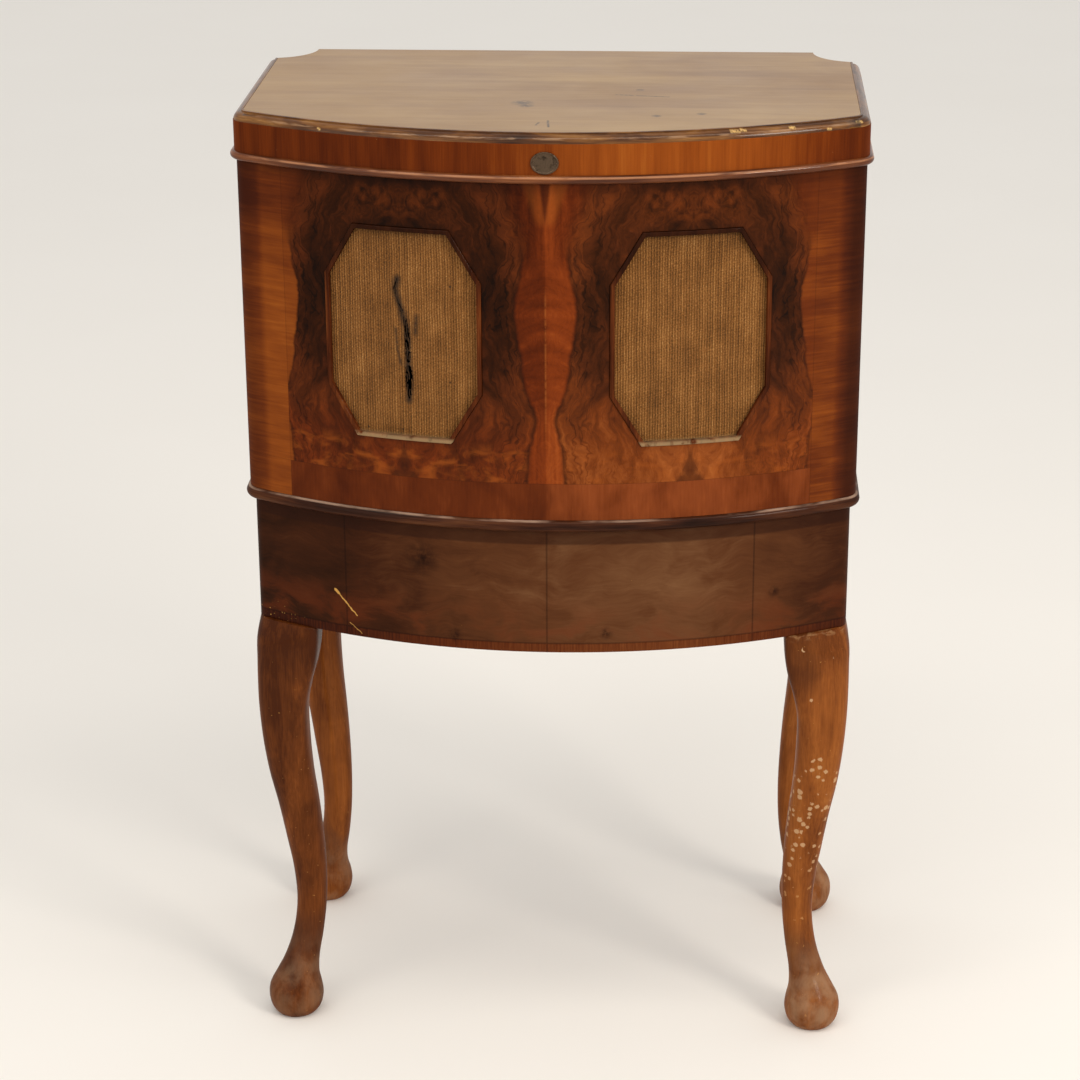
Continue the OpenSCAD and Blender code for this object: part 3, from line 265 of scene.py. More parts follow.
def burrVeneer():
    # four mirrored leaves of burr walnut: a vase of redder wood at the seam, dark burr round the octagons
    leaf = {"width": 138, "fieldEnd": 261.5, "fieldFoot": 625.8, "octagonZ": 767, "foot": 589, "head": 918,
            "widest": 57,
            # heights or ways between which a part of the figure or of the painted shade begins or ends, in mm
            "underOctagon": (706, 655), "besideOctagon": (690, 770), "curlsFrom": (872, 890),
            "curlsTo": (916, 906), "blotches": (668, 648), "vaseFoot": (712, 690), "vaseHead": (836, 852),
            "notch": (874, 884), "beltFrom": (786, 792), "beltTo": (804, 797), "outer": (225, 240),
            "shadeUnderLid": (902, 917)}
    material = newFinish("burr walnut veneer, book-matched and French polished")
    s, z, runMm = runPlace()
    away = maths("ABSOLUTE", s)
    m = maths("PINGPONG", s, leaf["width"])  # mirrored at each seam
    place = flatPoint(m, z)
    # painted light: the leaves lighter towards the right end and the right leaf lighter than the left; it also sets
    # the bands, curls and blotches
    paintedLight = sideLight(s, [(-300, 0.24), (-190, 0.26), (-60, 0.28), (-2, 0.34), (4, 0.52), (90, 0.62),
        (160, 0.66), (212, 0.44), (300, 0.40)])

    # half width of the vase, mm, up the height of the case
    share = ranged(z, leaf["foot"], leaf["head"])
    vase = ramp(share, [(0, 0.33), (0.11, 0.32), (0.225, 0.27), (0.31, 0.17), (0.386, 0.33), (0.444, 0.39),
        (0.50, 0.42), (0.574, 0.50), (0.644, 0.515), (0.717, 0.44), (0.784, 0.38), (0.854, 0.42), (0.89, 0.49),
        (1, 0.70)])
    vase.color_ramp.interpolation = "CARDINAL"
    wobble = cloud(place, (90, 1, 16), 3, 0.55)
    halfWay = sumOf((vase, leaf["widest"]), (wobble, 9), (4.5, -1))
    past = maths("SUBTRACT", m, halfWay)

    # figure that follows the vase's outline near it and eddies further out
    slip = cloud(runMm, (70, 1, 70), 2, 0.5)  # the leaves have moved a little against each other
    sway = cloud(place, (30, 1, 38), 3, 0.5)
    swayed = drift(slip, (7, 0, 7), drift(sway, (34, 0, 30), flatPoint(past, z)))
    figure = cloud(swayed, (10, 1, 27), 3, 0.55, 0.4)
    large = cloud(swayed, (38, 1, 70), 2, 0.5)
    small = cloud(swayed, (3.2, 1, 6), 3, 0.6, 0.5)
    hair = cloud(swayed, (1.2, 1, 10), 3, 0.6)
    vein = cloud(swayed, (15, 1, 80), 3, 0.55, 0.4)
    vein = offFrom(vein, 0.5)
    vein = ranged(vein, 0, 0.022, 1, 0)
    nearVase = step(past, 44, 18)
    vein = product(vein, sumOf((nearVase, 0.7), (0.3, 1)))

    # lighter below the octagons, and painted shade beside their upper corners
    under = step(z, *leaf["underOctagon"])
    dx = sumOf((m, 1 / 92), (leaf["width"], -1 / 92))
    dz = sumOf((z, 1 / 130), (leaf["octagonZ"] + 18, -1 / 130))
    aroundOctagon = sumOf((product(dx, dx), 1), (product(dz, dz), 1))
    shadowed = product(step(aroundOctagon, 1.7, 1.05), step(z, *leaf["besideOctagon"]))
    tone = sumOf((figure, 0.52), (small, 0.22), (large, 0.36), (hair, 0.07), (0.255, -1),
        (product(under, paintedLight), 0.27), (shadowed, -0.21), (vein, -0.14), (paintedLight, 0.30))
    burr = ramp(tone, [(0.08, "#160904"), (0.26, "#301506"), (0.43, "#4B220C"), (0.60, "#6B3211"),
        (0.76, "#8A481D"), (0.94, "#A8622D")])
    # painted shade: redder where the painted light is low, towards the left end, and more so below the octagons
    redder = product(sumOf((paintedLight, -2), (1, 1)), sumOf((under, 0.7), (0.3, 1)))
    burr = blendOf(sumOf((redder, 0.6)), burr, "#FFA070", "MULTIPLY")

    # red curls above the octagons, orange blotches and a small dark tree below them
    nearSeam = step(m, 84, 104)
    curl = cloud(place, (15, 1, 15), 3, 0.5, 1.6)
    curls = product(step(curl, 0.30, 0.80), step(z, *leaf["curlsFrom"]), step(z, *leaf["curlsTo"]), nearSeam)
    burr = blendOf(product(curls, sumOf((paintedLight, 0.50), (0.24, 1))), burr, blendOf(small, "#561F0A", "#954A1B"))
    blotch = cloud(place, (24, 1, 13), 3, 0.5, 0.6)
    blotches = product(step(blotch, 0.44, 0.70), step(z, *leaf["blotches"]), sumOf((paintedLight, -1), (1, 1)))
    burr = over(burr, "#9A4E1A", blotches, 0.75)
    treeWidth = ranged(z, 625, 660, 13, 1)
    offSeam = sumOf((m, -1), (leaf["width"], 1), (figure, 16), (8, -1))
    inTree = maths("SUBTRACT", treeWidth, offSeam)
    inTree = product(step(inTree, -3, 4), step(z, 664, 658))

    # the vase: a bright core, level arcs across its belly, chevrons in its foot, and a V cut into its head
    arcs = flatPoint(sumOf((m, 1 / 44)), sumOf((z, 1 / 13), (product(m, m), 1 / 900)))
    arcs = cloud(arcs, (1, 1, 1), 3, 0.55, 0.3)
    chevrons = flatPoint(sumOf((m, 1 / 6)), sumOf((z, 1 / 60), (m, 1 / 30)))
    chevrons = cloud(chevrons, (1, 1, 1), 3, 0.55, 0.3)
    inFoot = step(z, *leaf["vaseFoot"])
    inHead = step(z, *leaf["vaseHead"])
    core = product(step(m, 13, 2), inHead)
    # painted light in the vase's tone: lighter towards the right, and its right half lighter than its left
    midTone = sumOf((blendOf(most(inFoot, inHead), arcs, chevrons), 0.38), (small, 0.20), (hair, 0.06),
        (paintedLight, 0.34), (inFoot, 0.11), (inHead, -0.10), (core, 0.20), (step(s, -0.8, 0.8), 0.07), (0.135, -1))
    belt = product(step(z, *leaf["beltFrom"]), step(z, *leaf["beltTo"]))
    midTone = sumOf((midTone, 1), (belt, 0.07))
    middle = ramp(midTone, [(0.14, "#361204"), (0.32, "#592208"), (0.48, "#79330F"), (0.64, "#96481A"),
        (0.84, "#B06628")])
    cut = sumOf((z, 0.13), (882, -0.13), (m, -1), (small, 3), (1.2, -1))
    cut = product(step(cut, -2.4, 1.6), step(z, *leaf["notch"]))
    middle = over(middle, "#2E1207", cut, 0.70)
    arm = sumOf((m, 1), (z, -0.34), (878, 0.34))
    arm = product(step(arm, 12, 2), step(z, *leaf["notch"]))
    middle = blendOf(product(arm, sumOf((cut, -1), (1, 1)), sumOf((paintedLight, 0.62))), middle, "#A0551E")
    seamLine = product(step(away, 1.3, 0.3), step(z, 650, 700), step(z, 822, 800), step(small, 0.3, 0.6))
    middle = over(middle, "#B56A30", seamLine, 0.24)
    outer = step(away, *leaf["outer"])
    edgeSoft = sumOf((step(z, 838, 862), 11), (1.6, 1))
    inMiddle = step(maths("DIVIDE", past, edgeSoft), 1, -1)
    edge = maths("ABSOLUTE", past)
    edge = ranged(edge, 0.2, 3.2, 1, 0)
    edge = product(edge, step(wobble, 0.25, 0.50), step(z, 866, 846))
    field = blendOf(inMiddle, burr, middle)
    field = over(field, "#200E06", edge, 0.66)
    field = over(field, "#32160A", inTree, 0.60)

    # cross banding: short upright grain along the foot, level grain round the corners
    short = cloud(runMm, (2.6, 1, 30), 3, 0.55, 0.3)
    patch = cloud(runMm, (30, 1, 50), 3, 0.5, 0.4)
    band = ramp(sumOf((short, 0.16), (patch, 0.42), (paintedLight, 0.44), (0.06, -1)),
        [(0.20, "#401706"), (0.38, "#5C270C"), (0.56, "#7E3D1A"), (0.80, "#A05C30")])
    level = cloud(runMm, (60, 1, 3.2), 3, 0.55, 0.5)
    levelBroad = cloud(runMm, (70, 1, 30), 3, 0.5)
    # painted light on the corner band: lighter lower down, a painted highlight down the left corner, and painted
    # shade beyond the bow's end where the corner turns away
    cornerFall = step(z, 905, 800)
    leftward = step(s, 100, -100)
    corner = ramp(sumOf((level, 0.28), (levelBroad, 0.44), (product(cornerFall, leftward), 0.13),
        (cornerFall, 0.07), (step(away, 293, 283), 0.13), (0.18, -1)),
        [(0.16, "#40190A"), (0.34, "#5E290D"), (0.54, "#844214"), (0.74, "#A35E22")])
    cornerEdge = over(field, corner, outer, 0.85)
    field = blendOf(product(outer, inMiddle), field, cornerEdge)
    colour = blendOf(joint(z, leaf["fieldFoot"], -1), field, band)
    colour = blendOf(joint(away, leaf["fieldEnd"]), colour, corner)
    # painted shade round the corners, where the case turns away from the light, deeper on the right
    cornerShade = product(step(away, 289, 303), sumOf((step(s, 0, 1), 0.40), (0.24, 1)))
    colour = blendOf(product(cornerShade, step(away, 330, 318)), colour, "#260E06")
    seamFoot = offFrom(z, leaf["fieldFoot"])
    seamEnd = offFrom(away, leaf["fieldEnd"])
    nearest = maths("MINIMUM", seamFoot, seamEnd)
    seam = ranged(nearest, 0.15, 0.7, 0.24, 0)
    colour = blendOf(seam, colour, "#1C0B06")
    shadeUnderLid = step(z, *leaf["shadeUnderLid"])  # painted shade under the lid's overhang
    colour = over(colour, "#1C0B06", shadeUnderLid, 0.35)
    rough = unevenly(runMm, (60, 1, 80), 0.2, 0.26)
    height = sumOf((small, 0.4), (hair, 0.4), (seam, -1))
    polish(colour, rough, height, polished)
    return material


def rimVeneer():
    # short upright pieces of walnut veneer, each cut from another place, so the tone changes at the joints
    material = newFinish("cross-banded walnut veneer, French polished")
    s, _, place = runPlace()
    number = maths("FLOOR", sumOf((s, 1 / 57), (31.37, 1)))
    piece = chanceOf(number)
    fine = cloud(place, (1.4, 1, 60), 4, 0.6, 0.1)
    broad = cloud(place, (13, 1, 150), 3, 0.55, 0.2)
    # painted light: lighter right of the middle, darker at the left end and the far right, as the lamps fall
    paintedLight = sideLight(s, [(-300, 0.20), (-180, 0.16), (-50, 0.20), (30, 0.52), (110, 0.74), (180, 0.64),
        (235, 0.40), (290, 0.12)])
    tone = sumOf((fine, 0.17), (broad, 0.30), (piece, 0.12), (paintedLight, 0.46), (0.035, -1))
    colour = ramp(tone, [(0.24, "#451906"), (0.38, "#642A09"), (0.56, "#8A4413"), (0.72, "#A35C1F"),
        (0.88, "#BA7A35")])
    knocks = step(cloud(place, (3, 1, 2), 2, 0.5), 0.745, 0.775)
    colour = over(colour, "#C79A5E", knocks, 0.45)
    rough = unevenly(place, (60, 1, 80), 0.2, 0.26)
    polish(colour, rough, fine, polished)
    return material


def apronVeneer():
    # the stand's bowed board: dull crotch figure in leaves, a thin band at its foot, knocks and scratches
    leaf = {"joints": (-206, 0, 206), "bandTop": 459.3, "shadeUnderBead": (561, 563.5),
            "knots": (((-124, 0, 541), 21), ((-91, 0, 464), 9), ((58, 0, 470), 8), ((228, 0, 500), 7)),
            "longScratch": ((-217.5, 0, 498), (-193.7, 0, 473)),
            "shortScratch": ((-201.8, 0, 464.5), (-188.8, 0, 454.8)),
            "gouge": ((-217, 0, 497), (-213, 0, 493.5))}
    material = newFinish("walnut veneer, dulled and knocked")
    s, z, place = runPlace()
    swayed = drift(cloud(place, (70, 1, 60), 2, 0.5), (50, 0, 50), place)
    figure = cloud(swayed, (60, 1, 28), 4, 0.6, 0.3)
    fine = cloud(swayed, (24, 1, 2.4), 4, 0.6, 0.2)
    # painted light: the board lighter across the middle and right of it, darker towards both ends, as the lamps fall
    paintedLight = sideLight(s, [(-300, 0.10), (-210, 0.16), (-90, 0.48), (40, 0.66), (140, 0.72), (215, 0.52),
        (260, 0.36), (300, 0.22)])
    tone = sumOf((figure, 0.42), (fine, 0.13), (paintedLight, 0.52), (0.065, -1))
    colour = ramp(tone, [(0.14, "#1E0E06"), (0.34, "#3B1D0D"), (0.50, "#55311A"), (0.66, "#6C482D"),
        (0.84, "#835E3C")])
    redLow = product(step(z, 520, 465), step(figure, 0.42, 0.62))
    colour = over(colour, "#5E2810", redLow, 0.5)
    # painted shade along the board's top edge, under the waist bead
    shadeUnderBead = step(z, *leaf["shadeUnderBead"])
    colour = over(colour, "#27120B", shadeUnderBead, 0.55)
    low = joint(z, leaf["bandTop"], -1)
    bandGrain = cloud(place, (2, 1, 30), 4, 0.6)
    bandTint = ramp(sumOf((bandGrain, 0.5), (paintedLight, 0.5)), [(0.30, "#32140A"), (0.5, "#54260F"),
        (0.75, "#74401F")])
    colour = blendOf(low, colour, bandTint)
    gaps = offFrom(z, leaf["bandTop"])
    for middle in leaf["joints"]:
        gaps = maths("MINIMUM", gaps, offFrom(s, middle))
    seam = ranged(gaps, 0.3, 1.3, 0.45, 0)
    colour = blendOf(seam, colour, "#140805")
    ragged = cloud(place, (9, 1, 9), 3, 0.6)
    for at, size in leaf["knots"]:
        near = scratch(place, at, at, size, 0.95)
        near = product(near, step(ragged, 0.30, 0.62))
        colour = over(colour, "#1A0A05", near, 0.9)
    shaky = vectors("MULTIPLY_ADD", cloud(place, (5, 1, 5), 2, 0.5).outputs["Color"], (2.4, 0, 2.4), place)
    long = scratch(shaky, *leaf["longScratch"], 0.85)
    short = scratch(shaky, *leaf["shortScratch"], 0.6)
    gouge = scratch(shaky, *leaf["gouge"], 1.7)
    bareWood = most(long, sumOf((short, 0.6)), gouge)
    flecks = step(cloud(place, (2.6, 1, 2.6), 2, 0.5), 0.67, 0.72)
    leftFoot = product(step(s, -252, -262), step(z, 478, 466))
    flecks = product(flecks, sumOf((leftFoot, 0.9)))
    rare = step(cloud(place, (2.8, 1, 2.2), 2, 0.5), 0.775, 0.80)
    colour = blendOf(most(bareWood, flecks, sumOf((rare, 0.5))), colour, "#C0904A")
    rough = unevenly(place, (50, 1, 40), 0.25, 0.3)
    height = sumOf((fine, 0.4), (seam, -1), (bareWood, -1.5))
    polish(colour, rough, height, dulled)
    return material


def legMarks(place):
    # pale paint spots on the front right leg, a chipped ledge at its knee with a painted highlight along it, painted
    # shade on that knee's inner side, scuffed feet, and painted side light
    x, y, z = partsOf(place)
    # painted light: the legs lighter towards the right and the back left leg lighter; the knees darker
    side = sideLight(x, [(-300, 0.34), (-220, 0.38), (0, 0.5), (220, 0.66), (300, 0.62)])
    knees = step(z, 360, 440)
    backLeft = product(step(y, 60, 120), step(x, 0, -100))
    toned = sumOf((side, 0.44), (knees, -0.07), (backLeft, 0.10), (0.265, -1))
    smudge = cloud(place, (26, 26, 46), 3, 0.6, 0.4)
    toned = sumOf((toned, 1), (smudge, 0.22), (0.11, -1))
    footDark = product(step(z, 122, 84), step(z, 30, 56), step(smudge, 0.32, 0.58))
    cells = put("ShaderNodeTexVoronoi", {"Vector": place, "Scale": 1 / 7.2, "Randomness": 1}, feature="F1")
    size = partsOf(cells.outputs["Color"])
    ragged = cloud(place, (1.6,) * 3, 2, 0.5)
    radius = sumOf((size[0], 0.20), (0.18, 1), (step(z, 140, 200), 0.08), (ragged, 0.36), (0.18, -1))
    spots = maths("SUBTRACT", radius, cells.outputs["Distance"])
    spots = step(spots, -0.03, 0.07)
    crowd = cloud(place, (26,) * 3, 2, 0.5)
    many = ranged(z, 100, 165, 0, 0.78)
    fewer = ranged(z, 262, 318, 0, 0.82)
    chance = sumOf((many, 1), (fewer, -1), (crowd, 1), (0.52, -1))
    present = maths("LESS_THAN", size[1], chance)
    here = product(step(x, 150, 160), step(y, 10, 0))
    paint = product(spots, present, here)
    chips = step(cloud(place, (3.2,) * 3, 2, 0.5), 0.735, 0.76)
    # a pale band along the top of the right knee's ledge: partly worn polish, partly a painted highlight
    knee = product(step(z, 443, 449), step(cloud(place, (9, 9, 3), 2, 0.5), 0.46, 0.60), here)
    # painted shade on the inner side of the right knee, which faces away from the light
    inner = product(step(z, 366, 412), step(x, 280, 254), here)
    rubbed = cloud(place, (20, 20, 26), 4, 0.55, 0.3)
    scuff = product(step(z, 96, 50), step(rubbed, 0.30, 0.72))
    scuffShare = sumOf((step(x, -100, 100), 0.34), (0.28, 1))
    return {"tone": toned, "spots": [(footDark, 0.55, "#4A2E20"), (product(scuff, scuffShare), 1, "#A07E60"),
        (inner, 0.50, "#3A1C0C"), (chips, 0.6, "#B98443"), (knee, 0.35, "#A67F55"),
        (paint, 0.66, blendOf(step(z, 150, 200), "#B5834F", "#C9A47A"))]}


def topMarks(place):
    # dark stains on the lid, and fine pale scratches
    ragged = cloud(place, (4,) * 3, 3, 0.65)
    stains = [((-28, -58, 964), 13), ((-24, -70, 964), 9), ((100, -109, 964), 6), ((142, -99, 964), 6),
        ((82, 2, 964), 5)]
    stains = dots(place, stains, 0.9)
    for start, end in (((0, -132), (2, -158)), ((-8, -140), (-10, -150)), ((60, -20), (110, -28))):
        stains = most(stains, scratch(place, (*start, 964), (*end, 964), 1.6, 0.8))
    stains = product(stains, step(ragged, 0.34, 0.50))
    haze = cloud(place, (130, 90, 100), 3, 0.55, 0.4)
    bandsAcross = cloud(place, (260, 16, 1), 3, 0.5)
    tone = sumOf((haze, 0.30), (bandsAcross, 0.10), (0.20, -1))
    lines = cloud(place, (45, 0.8, 1), 2, 0.5)
    lines = step(lines, 0.72, 0.78)
    leftward = step(partsOf(place)[0], 60, -280)
    return {"tone": tone, "spots": [(leftward, 0.35, "#8A6428"), (stains, 0.9, "#2C1806"),
        (lines, 0.18, "#B99A72")]}


def mouldingMarks(place):
    # the polish has gone from the lid's edge here and there, down to pale wood; a painted highlight runs along the
    # moulding's crest
    z = partsOf(place)[2]
    worn = cloud(place, (34, 1, 5), 3, 0.6)
    edge = ranged(z, 955, 964)
    pale = product(step(worn, 0.48, 0.66), step(edge, 0.25, 0.8))
    chips = ((177, 961.5, 4), (185, 962, 2), (233, 961, 2.2), (270, 957, 1.6), (303, 960, 3), (-217, 958, 1))
    chip = most(*[
        scratch(place, (at - wide, 0, high), (at + wide, 0, high - 0.4), 1.6, 0.8) for at, high, wide in chips])
    ragged = cloud(place, (2,) * 3, 2, 0.6)
    chip = product(chip, step(ragged, 0.36, 0.56))
    # painted highlight: a pale line along the moulding's rounded crest
    paintedHighlight = product(step(offFrom(z, 959.2), 1.3, 0.4), step(worn, 0.46, 0.60))
    return {"spots": [(pale, 0.26, "#87603A"), (paintedHighlight, 0.38, "#B8916C"), (chip, 0.9, "#CFA765")]}


def frameMarks(place):
    # dust and wear along the lower edge, partly a painted highlight there, and painted shade over the upper part
    z = partsOf(place)[2]
    dustAndHighlight = product(step(z, 669, 665), step(cloud(place, (12,) * 3, 3, 0.6), 0.26, 0.46))
    return {"spots": [(dustAndHighlight, 0.6, "#A98E68"), (step(z, 800, 852), 0.80, "#1E0E07")]}


def beadHighlightMarks(height, tint):
    # a light line along a bead's crest: mostly a painted highlight, partly polish worn where hands and dusters reach
    def marks(place):
        z = partsOf(place)[2]
        off = offFrom(z, height)
        uneven = cloud(place, (60, 1, 8), 3, 0.6)
        worn = product(step(off, 1.3, 0.3), step(uneven, 0.36, 0.58))
        return {"spots": [(worn, 0.65, tint)]}
    return marks


# Metals, paint and cloth
def metal(name, tint, dull, rough, grain=2200, tarnish="#3A2E22", spread=0.5, patch=17):
    # plated or turned: fine lines from polishing, and brown stain in patches
    material = newFinish(name)
    place = ownPlace()
    fine = cloud(place, (1 / grain, 1 / grain, 5 / grain), 3, 0.6)
    stain = cloud(place, (patch / 1000,) * 3, 4, 0.6, 0.3)
    patchy = step(stain, 0.5, 0.72)
    colour = over(blendOf(fine, tint, dull), tarnish, patchy, spread)
    roughness = sumOf((fine, 0.18), (patchy, 0.25), (rough - 0.09, 1))
    surface(fine, 0.08, 0.0001, Base_Color=colour, Metallic=1, Roughness=roughness)
    return material


def mottled(name, tints, size, rough, sheen=0, fibreSize=0.6, strength=0.4):
    # a soft or painted skin: patches of tone, and a fine nap or orange peel
    material = newFinish(name)
    place = ownPlace()
    patch = cloud(place, (size / 1000,) * 3, 4, 0.6)
    fibre = cloud(place, (fibreSize / 1000,) * 3, 2, 0.7)
    colour = ramp(sumOf((patch, 0.7), (fibre, 0.3)), [(0.35, tints[0]), (0.5, tints[1]), (0.65, tints[2])])
    roughness = sumOf((patch, 0.15), (rough - 0.07, 1))
    surface(fibre, strength, 0.0004, Base_Color=colour, Roughness=roughness, Sheen_Weight=sheen,
        Specular_IOR_Level=0.3)
    return material


def ribbedCloth():
    # woven cotton with upright ribs, gone brown; the ribs are drawn coarser than real ones, so that they show
    weave = {"rib": 2.6, "thread": 1.6}
    material = newFinish("ribbed cotton cloth, gone brown")
    s, z, place = runPlace()
    bend = cloud(place, (40, 1, 60), 2, 0.5)
    across = sumOf((s, 1), (bend, 3))
    rib = maths("SINE", sumOf((across, 2 * math.pi / weave["rib"])))
    number = maths("FLOOR", sumOf((across, 1 / weave["rib"])))
    ribTone = chanceOf(number)
    thread = maths("SINE", sumOf((z, 2 * math.pi / weave["thread"]), (number, 2.4)))
    yarn = cloud(place, (1, 1, 2.2), 3, 0.75)
    slub = cloud(place, (3.2, 1, 26), 3, 0.6)
    patch = cloud(place, (30, 1, 34), 3, 0.6)
    tone = sumOf((rib, 0.10), (thread, 0.06), (ribTone, 0.10), (yarn, 0.95), (slub, 0.22), (patch, 0.36),
        (0.335, -1))
    colour = ramp(tone, [(0.20, "#3A230B"), (0.40, "#664018"), (0.54, "#835426"), (0.68, "#9C6D39"),
        (0.86, "#BC915A")])
    dustAndHighlight = step(z, 670, 663.5)  # dust lies along the lower edge, with a painted highlight on the lower lip
    colour = over(colour, "#B99C68", dustAndHighlight, 0.45)
    # painted shade across the top of the cloth, under the frame's top bar where the cloth lies recessed
    shadeUnderTopBar = most(step(z, 857, 870), sumOf((step(z, 840, 872), 0.35)))
    colour = over(colour, "#2A1A0A", shadeUnderTopBar, 0.60)
    specks = [((-90.7, 0, 815.8), 2), ((-214, 0, 747), 1.2), ((-176, 0, 671), 1.8), ((-140, 0, 672), 1.6),
        ((-92, 0, 722), 1.4)]
    specks = dots(place, specks, 0.8)
    rows = [(-145.6, 771, -144.2, 750, 2.6, 0.9), (-144.2, 750, -141, 737, 2.4, 0.9),
        (-124.8, 784.5, -126, 768, 4.6, 0.95), (-142.8, 823, -145, 812, 1.6, 0.9)]
    frayed = most(*[scratch(place, (a, 0, b), (c, 0, d), wide, soft) for a, b, c, d, wide, soft in rows])
    frayed = product(frayed, step(yarn, 0.36, 0.56))
    corners = [(-143.2, 820), (-145.9, 810), (-139.2, 788), (-135, 771), (-133.8, 731), (-133.4, 702)]
    soiled = most(*[scratch(place, (a, 0, b), (c, 0, d), 6.2, 0.82)
        for (a, b), (c, d) in zip(corners, corners[1:])])
    soiled = product(soiled, step(yarn, 0.24, 0.50))
    colour = over(colour, "#2A1E13", most(specks, frayed, soiled), 0.92)
    height = sumOf((rib, 0.5), (thread, 0.3), (yarn, 0.8))
    surface(height, 0.75, 0.0006, Base_Color=colour, Roughness=0.88, Specular_IOR_Level=0.15, Sheen_Weight=0.06,
        Sheen_Roughness=0.5)
    return material


finishes = {
    "burr": burrVeneer(),
    "rim": rimVeneer(),
    "apron": apronVeneer(),
    "top": solidWood("walnut veneer, hazed polish", ("#67451D", "#7F5C30", "#917041", "#A38252"), "X",
                     hazed, 34, 2.2, marks=topMarks, contrast=0.4),
    "moulding": solidWood("walnut moulding, polished and chipped", ("#2E1808", "#4C2B11", "#6E451E", "#916531"), "X",
                          beadPolish, 7, 1.4, mapped=True, marks=mouldingMarks),
    "bead": solidWood("stained beech bead, polished", ("#32160A", "#4E2610", "#6B3A1C", "#86502A"), "X",
                      beadPolish, 14, 1.2, mapped=True, marks=beadHighlightMarks(924, "#B98058")),
    "darkBead": solidWood("stained beech bead, nearly black", ("#1C0D07", "#31180D", "#462514", "#5E3820"), "X",
                          darkBeadPolish, 14, 1.2, mapped=True, marks=beadHighlightMarks(588.2, "#B5957F")),
    "frame": solidWood("walnut lipping round the cloth", ("#2A1006", "#401C0B", "#5A2B12", "#7A441F"), "Z",
                       framePolish, 12, 1.2, marks=frameMarks),
    "side": solidWood("straight-grained walnut veneer, polished", ("#3E1B0A", "#5E2D11", "#784018", "#925626"), "Z",
                      polished, 24, contrast=0.6),
    "leg": solidWood("solid walnut, stained and worn", ("#421E09", "#683614", "#8A4D1F", "#A86930"), "Z",
                     legPolish, 24, marks=legMarks, contrast=0.55),
    "back": solidWood("stained pine, unpolished", ("#4A2C15", "#634022", "#76502D", "#8A643C"), "Z",
                      bare, 20, contrast=0.6),
    "inner": solidWood("beech, waxed", ("#6E4524", "#8E6238", "#A87C4D", "#BB9263"), "X", waxed, 16, contrast=0.8),
    "board": solidWood("mahogany-stained motor board", ("#3A160A", "#56200E", "#6B2D14", "#81401F"), "X",
                       polished, 20, contrast=0.7),
    "cloth": ribbedCloth(),
    "felt": mottled("green wool felt", ("#1E3A26", "#274A31", "#33593C"), 12, 0.95, 0.3, 0.9, 0.8),
    "hornPaint": mottled("black japanned horn", ("#0E0D0C", "#161412", "#201D1A"), 30, 0.55, 0, 2, 0.15),
    "nickel": metal("nickel plate, slightly worn", "#C9C4B8", "#B8B2A6", 0.20, spread=0.3),
    "steel": metal("turned steel, oiled", "#9A9894", "#84827E", 0.34),
    "brass": metal("brass, lacquer gone dull", "#B98E45", "#A07735", 0.32, tarnish="#5A3F1C"),
    "bronze": metal("bronze plaque, darkened", "#6A5746", "#463A2E", 0.40, 1400, "#241C15", 0.9, 5),
}
print("finishes made:", len(finishes))


# The shape of the case, which the pieces follow, in mm
caseShape = {"bowRadius": 577.71, "bowCentre": 389.86, "cornerX": 278, "cornerY": -91.3, "cornerAngle": 30,
             "cornerRadius": 22, "halfWidth": 300}


def runOf(point):  # way round the case from the middle of the front, in metres
    x, y = abs(point[0]) * 1000, point[1] * 1000
    turn = math.degrees(math.atan2(x, caseShape["bowCentre"] - y))
    first = math.radians(caseShape["cornerAngle"])
    way = caseShape["bowRadius"] * math.radians(turn)
    if turn > caseShape["cornerAngle"] or y > caseShape["cornerY"]:
        way = caseShape["bowRadius"] * first
        lean = math.atan2(max(x - caseShape["cornerX"], 0.01), caseShape["cornerY"] - y)
        way += caseShape["cornerRadius"] * (min(max(lean, first), math.pi / 2) - first)
        way += max(0, y - caseShape["cornerY"])
    return math.copysign(way, point[0]) / 1000


def mapRun(mesh):  # UV map in metres: way round the case, and height
    layer = mesh.uv_layers.new(name="run")
    for loop in mesh.loops:
        point = mesh.vertices[loop.vertex_index].co
        layer.data[loop.index].uv = (runOf(point), point.z)


def casePath(inset, end):  # points round the case in plan, from the left back to the right back
    reach, cornerX, cornerY = math.radians(caseShape["cornerAngle"]), caseShape["cornerX"], caseShape["cornerY"]
    bow, corner = caseShape["bowRadius"] - inset, caseShape["cornerRadius"] - inset
    bowTurns = [reach * i / 60 for i in range(61)]
    cornerTurns = [reach + (math.pi / 2 - reach) * i / 16 for i in range(1, 17)]
    half = [(bow * math.sin(turn), caseShape["bowCentre"] - bow * math.cos(turn)) for turn in bowTurns]
    half += [(cornerX + corner * math.sin(turn), cornerY - corner * math.cos(turn)) for turn in cornerTurns]
    half += [(caseShape["halfWidth"] - inset, cornerY + (end - cornerY) * i / 12) for i in range(1, 13)]
    return [(-x, y) for x, y in reversed(half[1:])] + half


def shade(mesh, sharp):  # smooth, but for edges sharper than an angle
    mesh.polygons.foreach_set("use_smooth", [True] * len(mesh.polygons))
    mesh.set_sharp_from_angle(angle=math.radians(sharp))
    return mesh


def emptied(work, name):  # the mesh that a bmesh has become
    mesh = bpy.data.meshes.new(name)
    work.to_mesh(mesh)
    work.free()
    return mesh


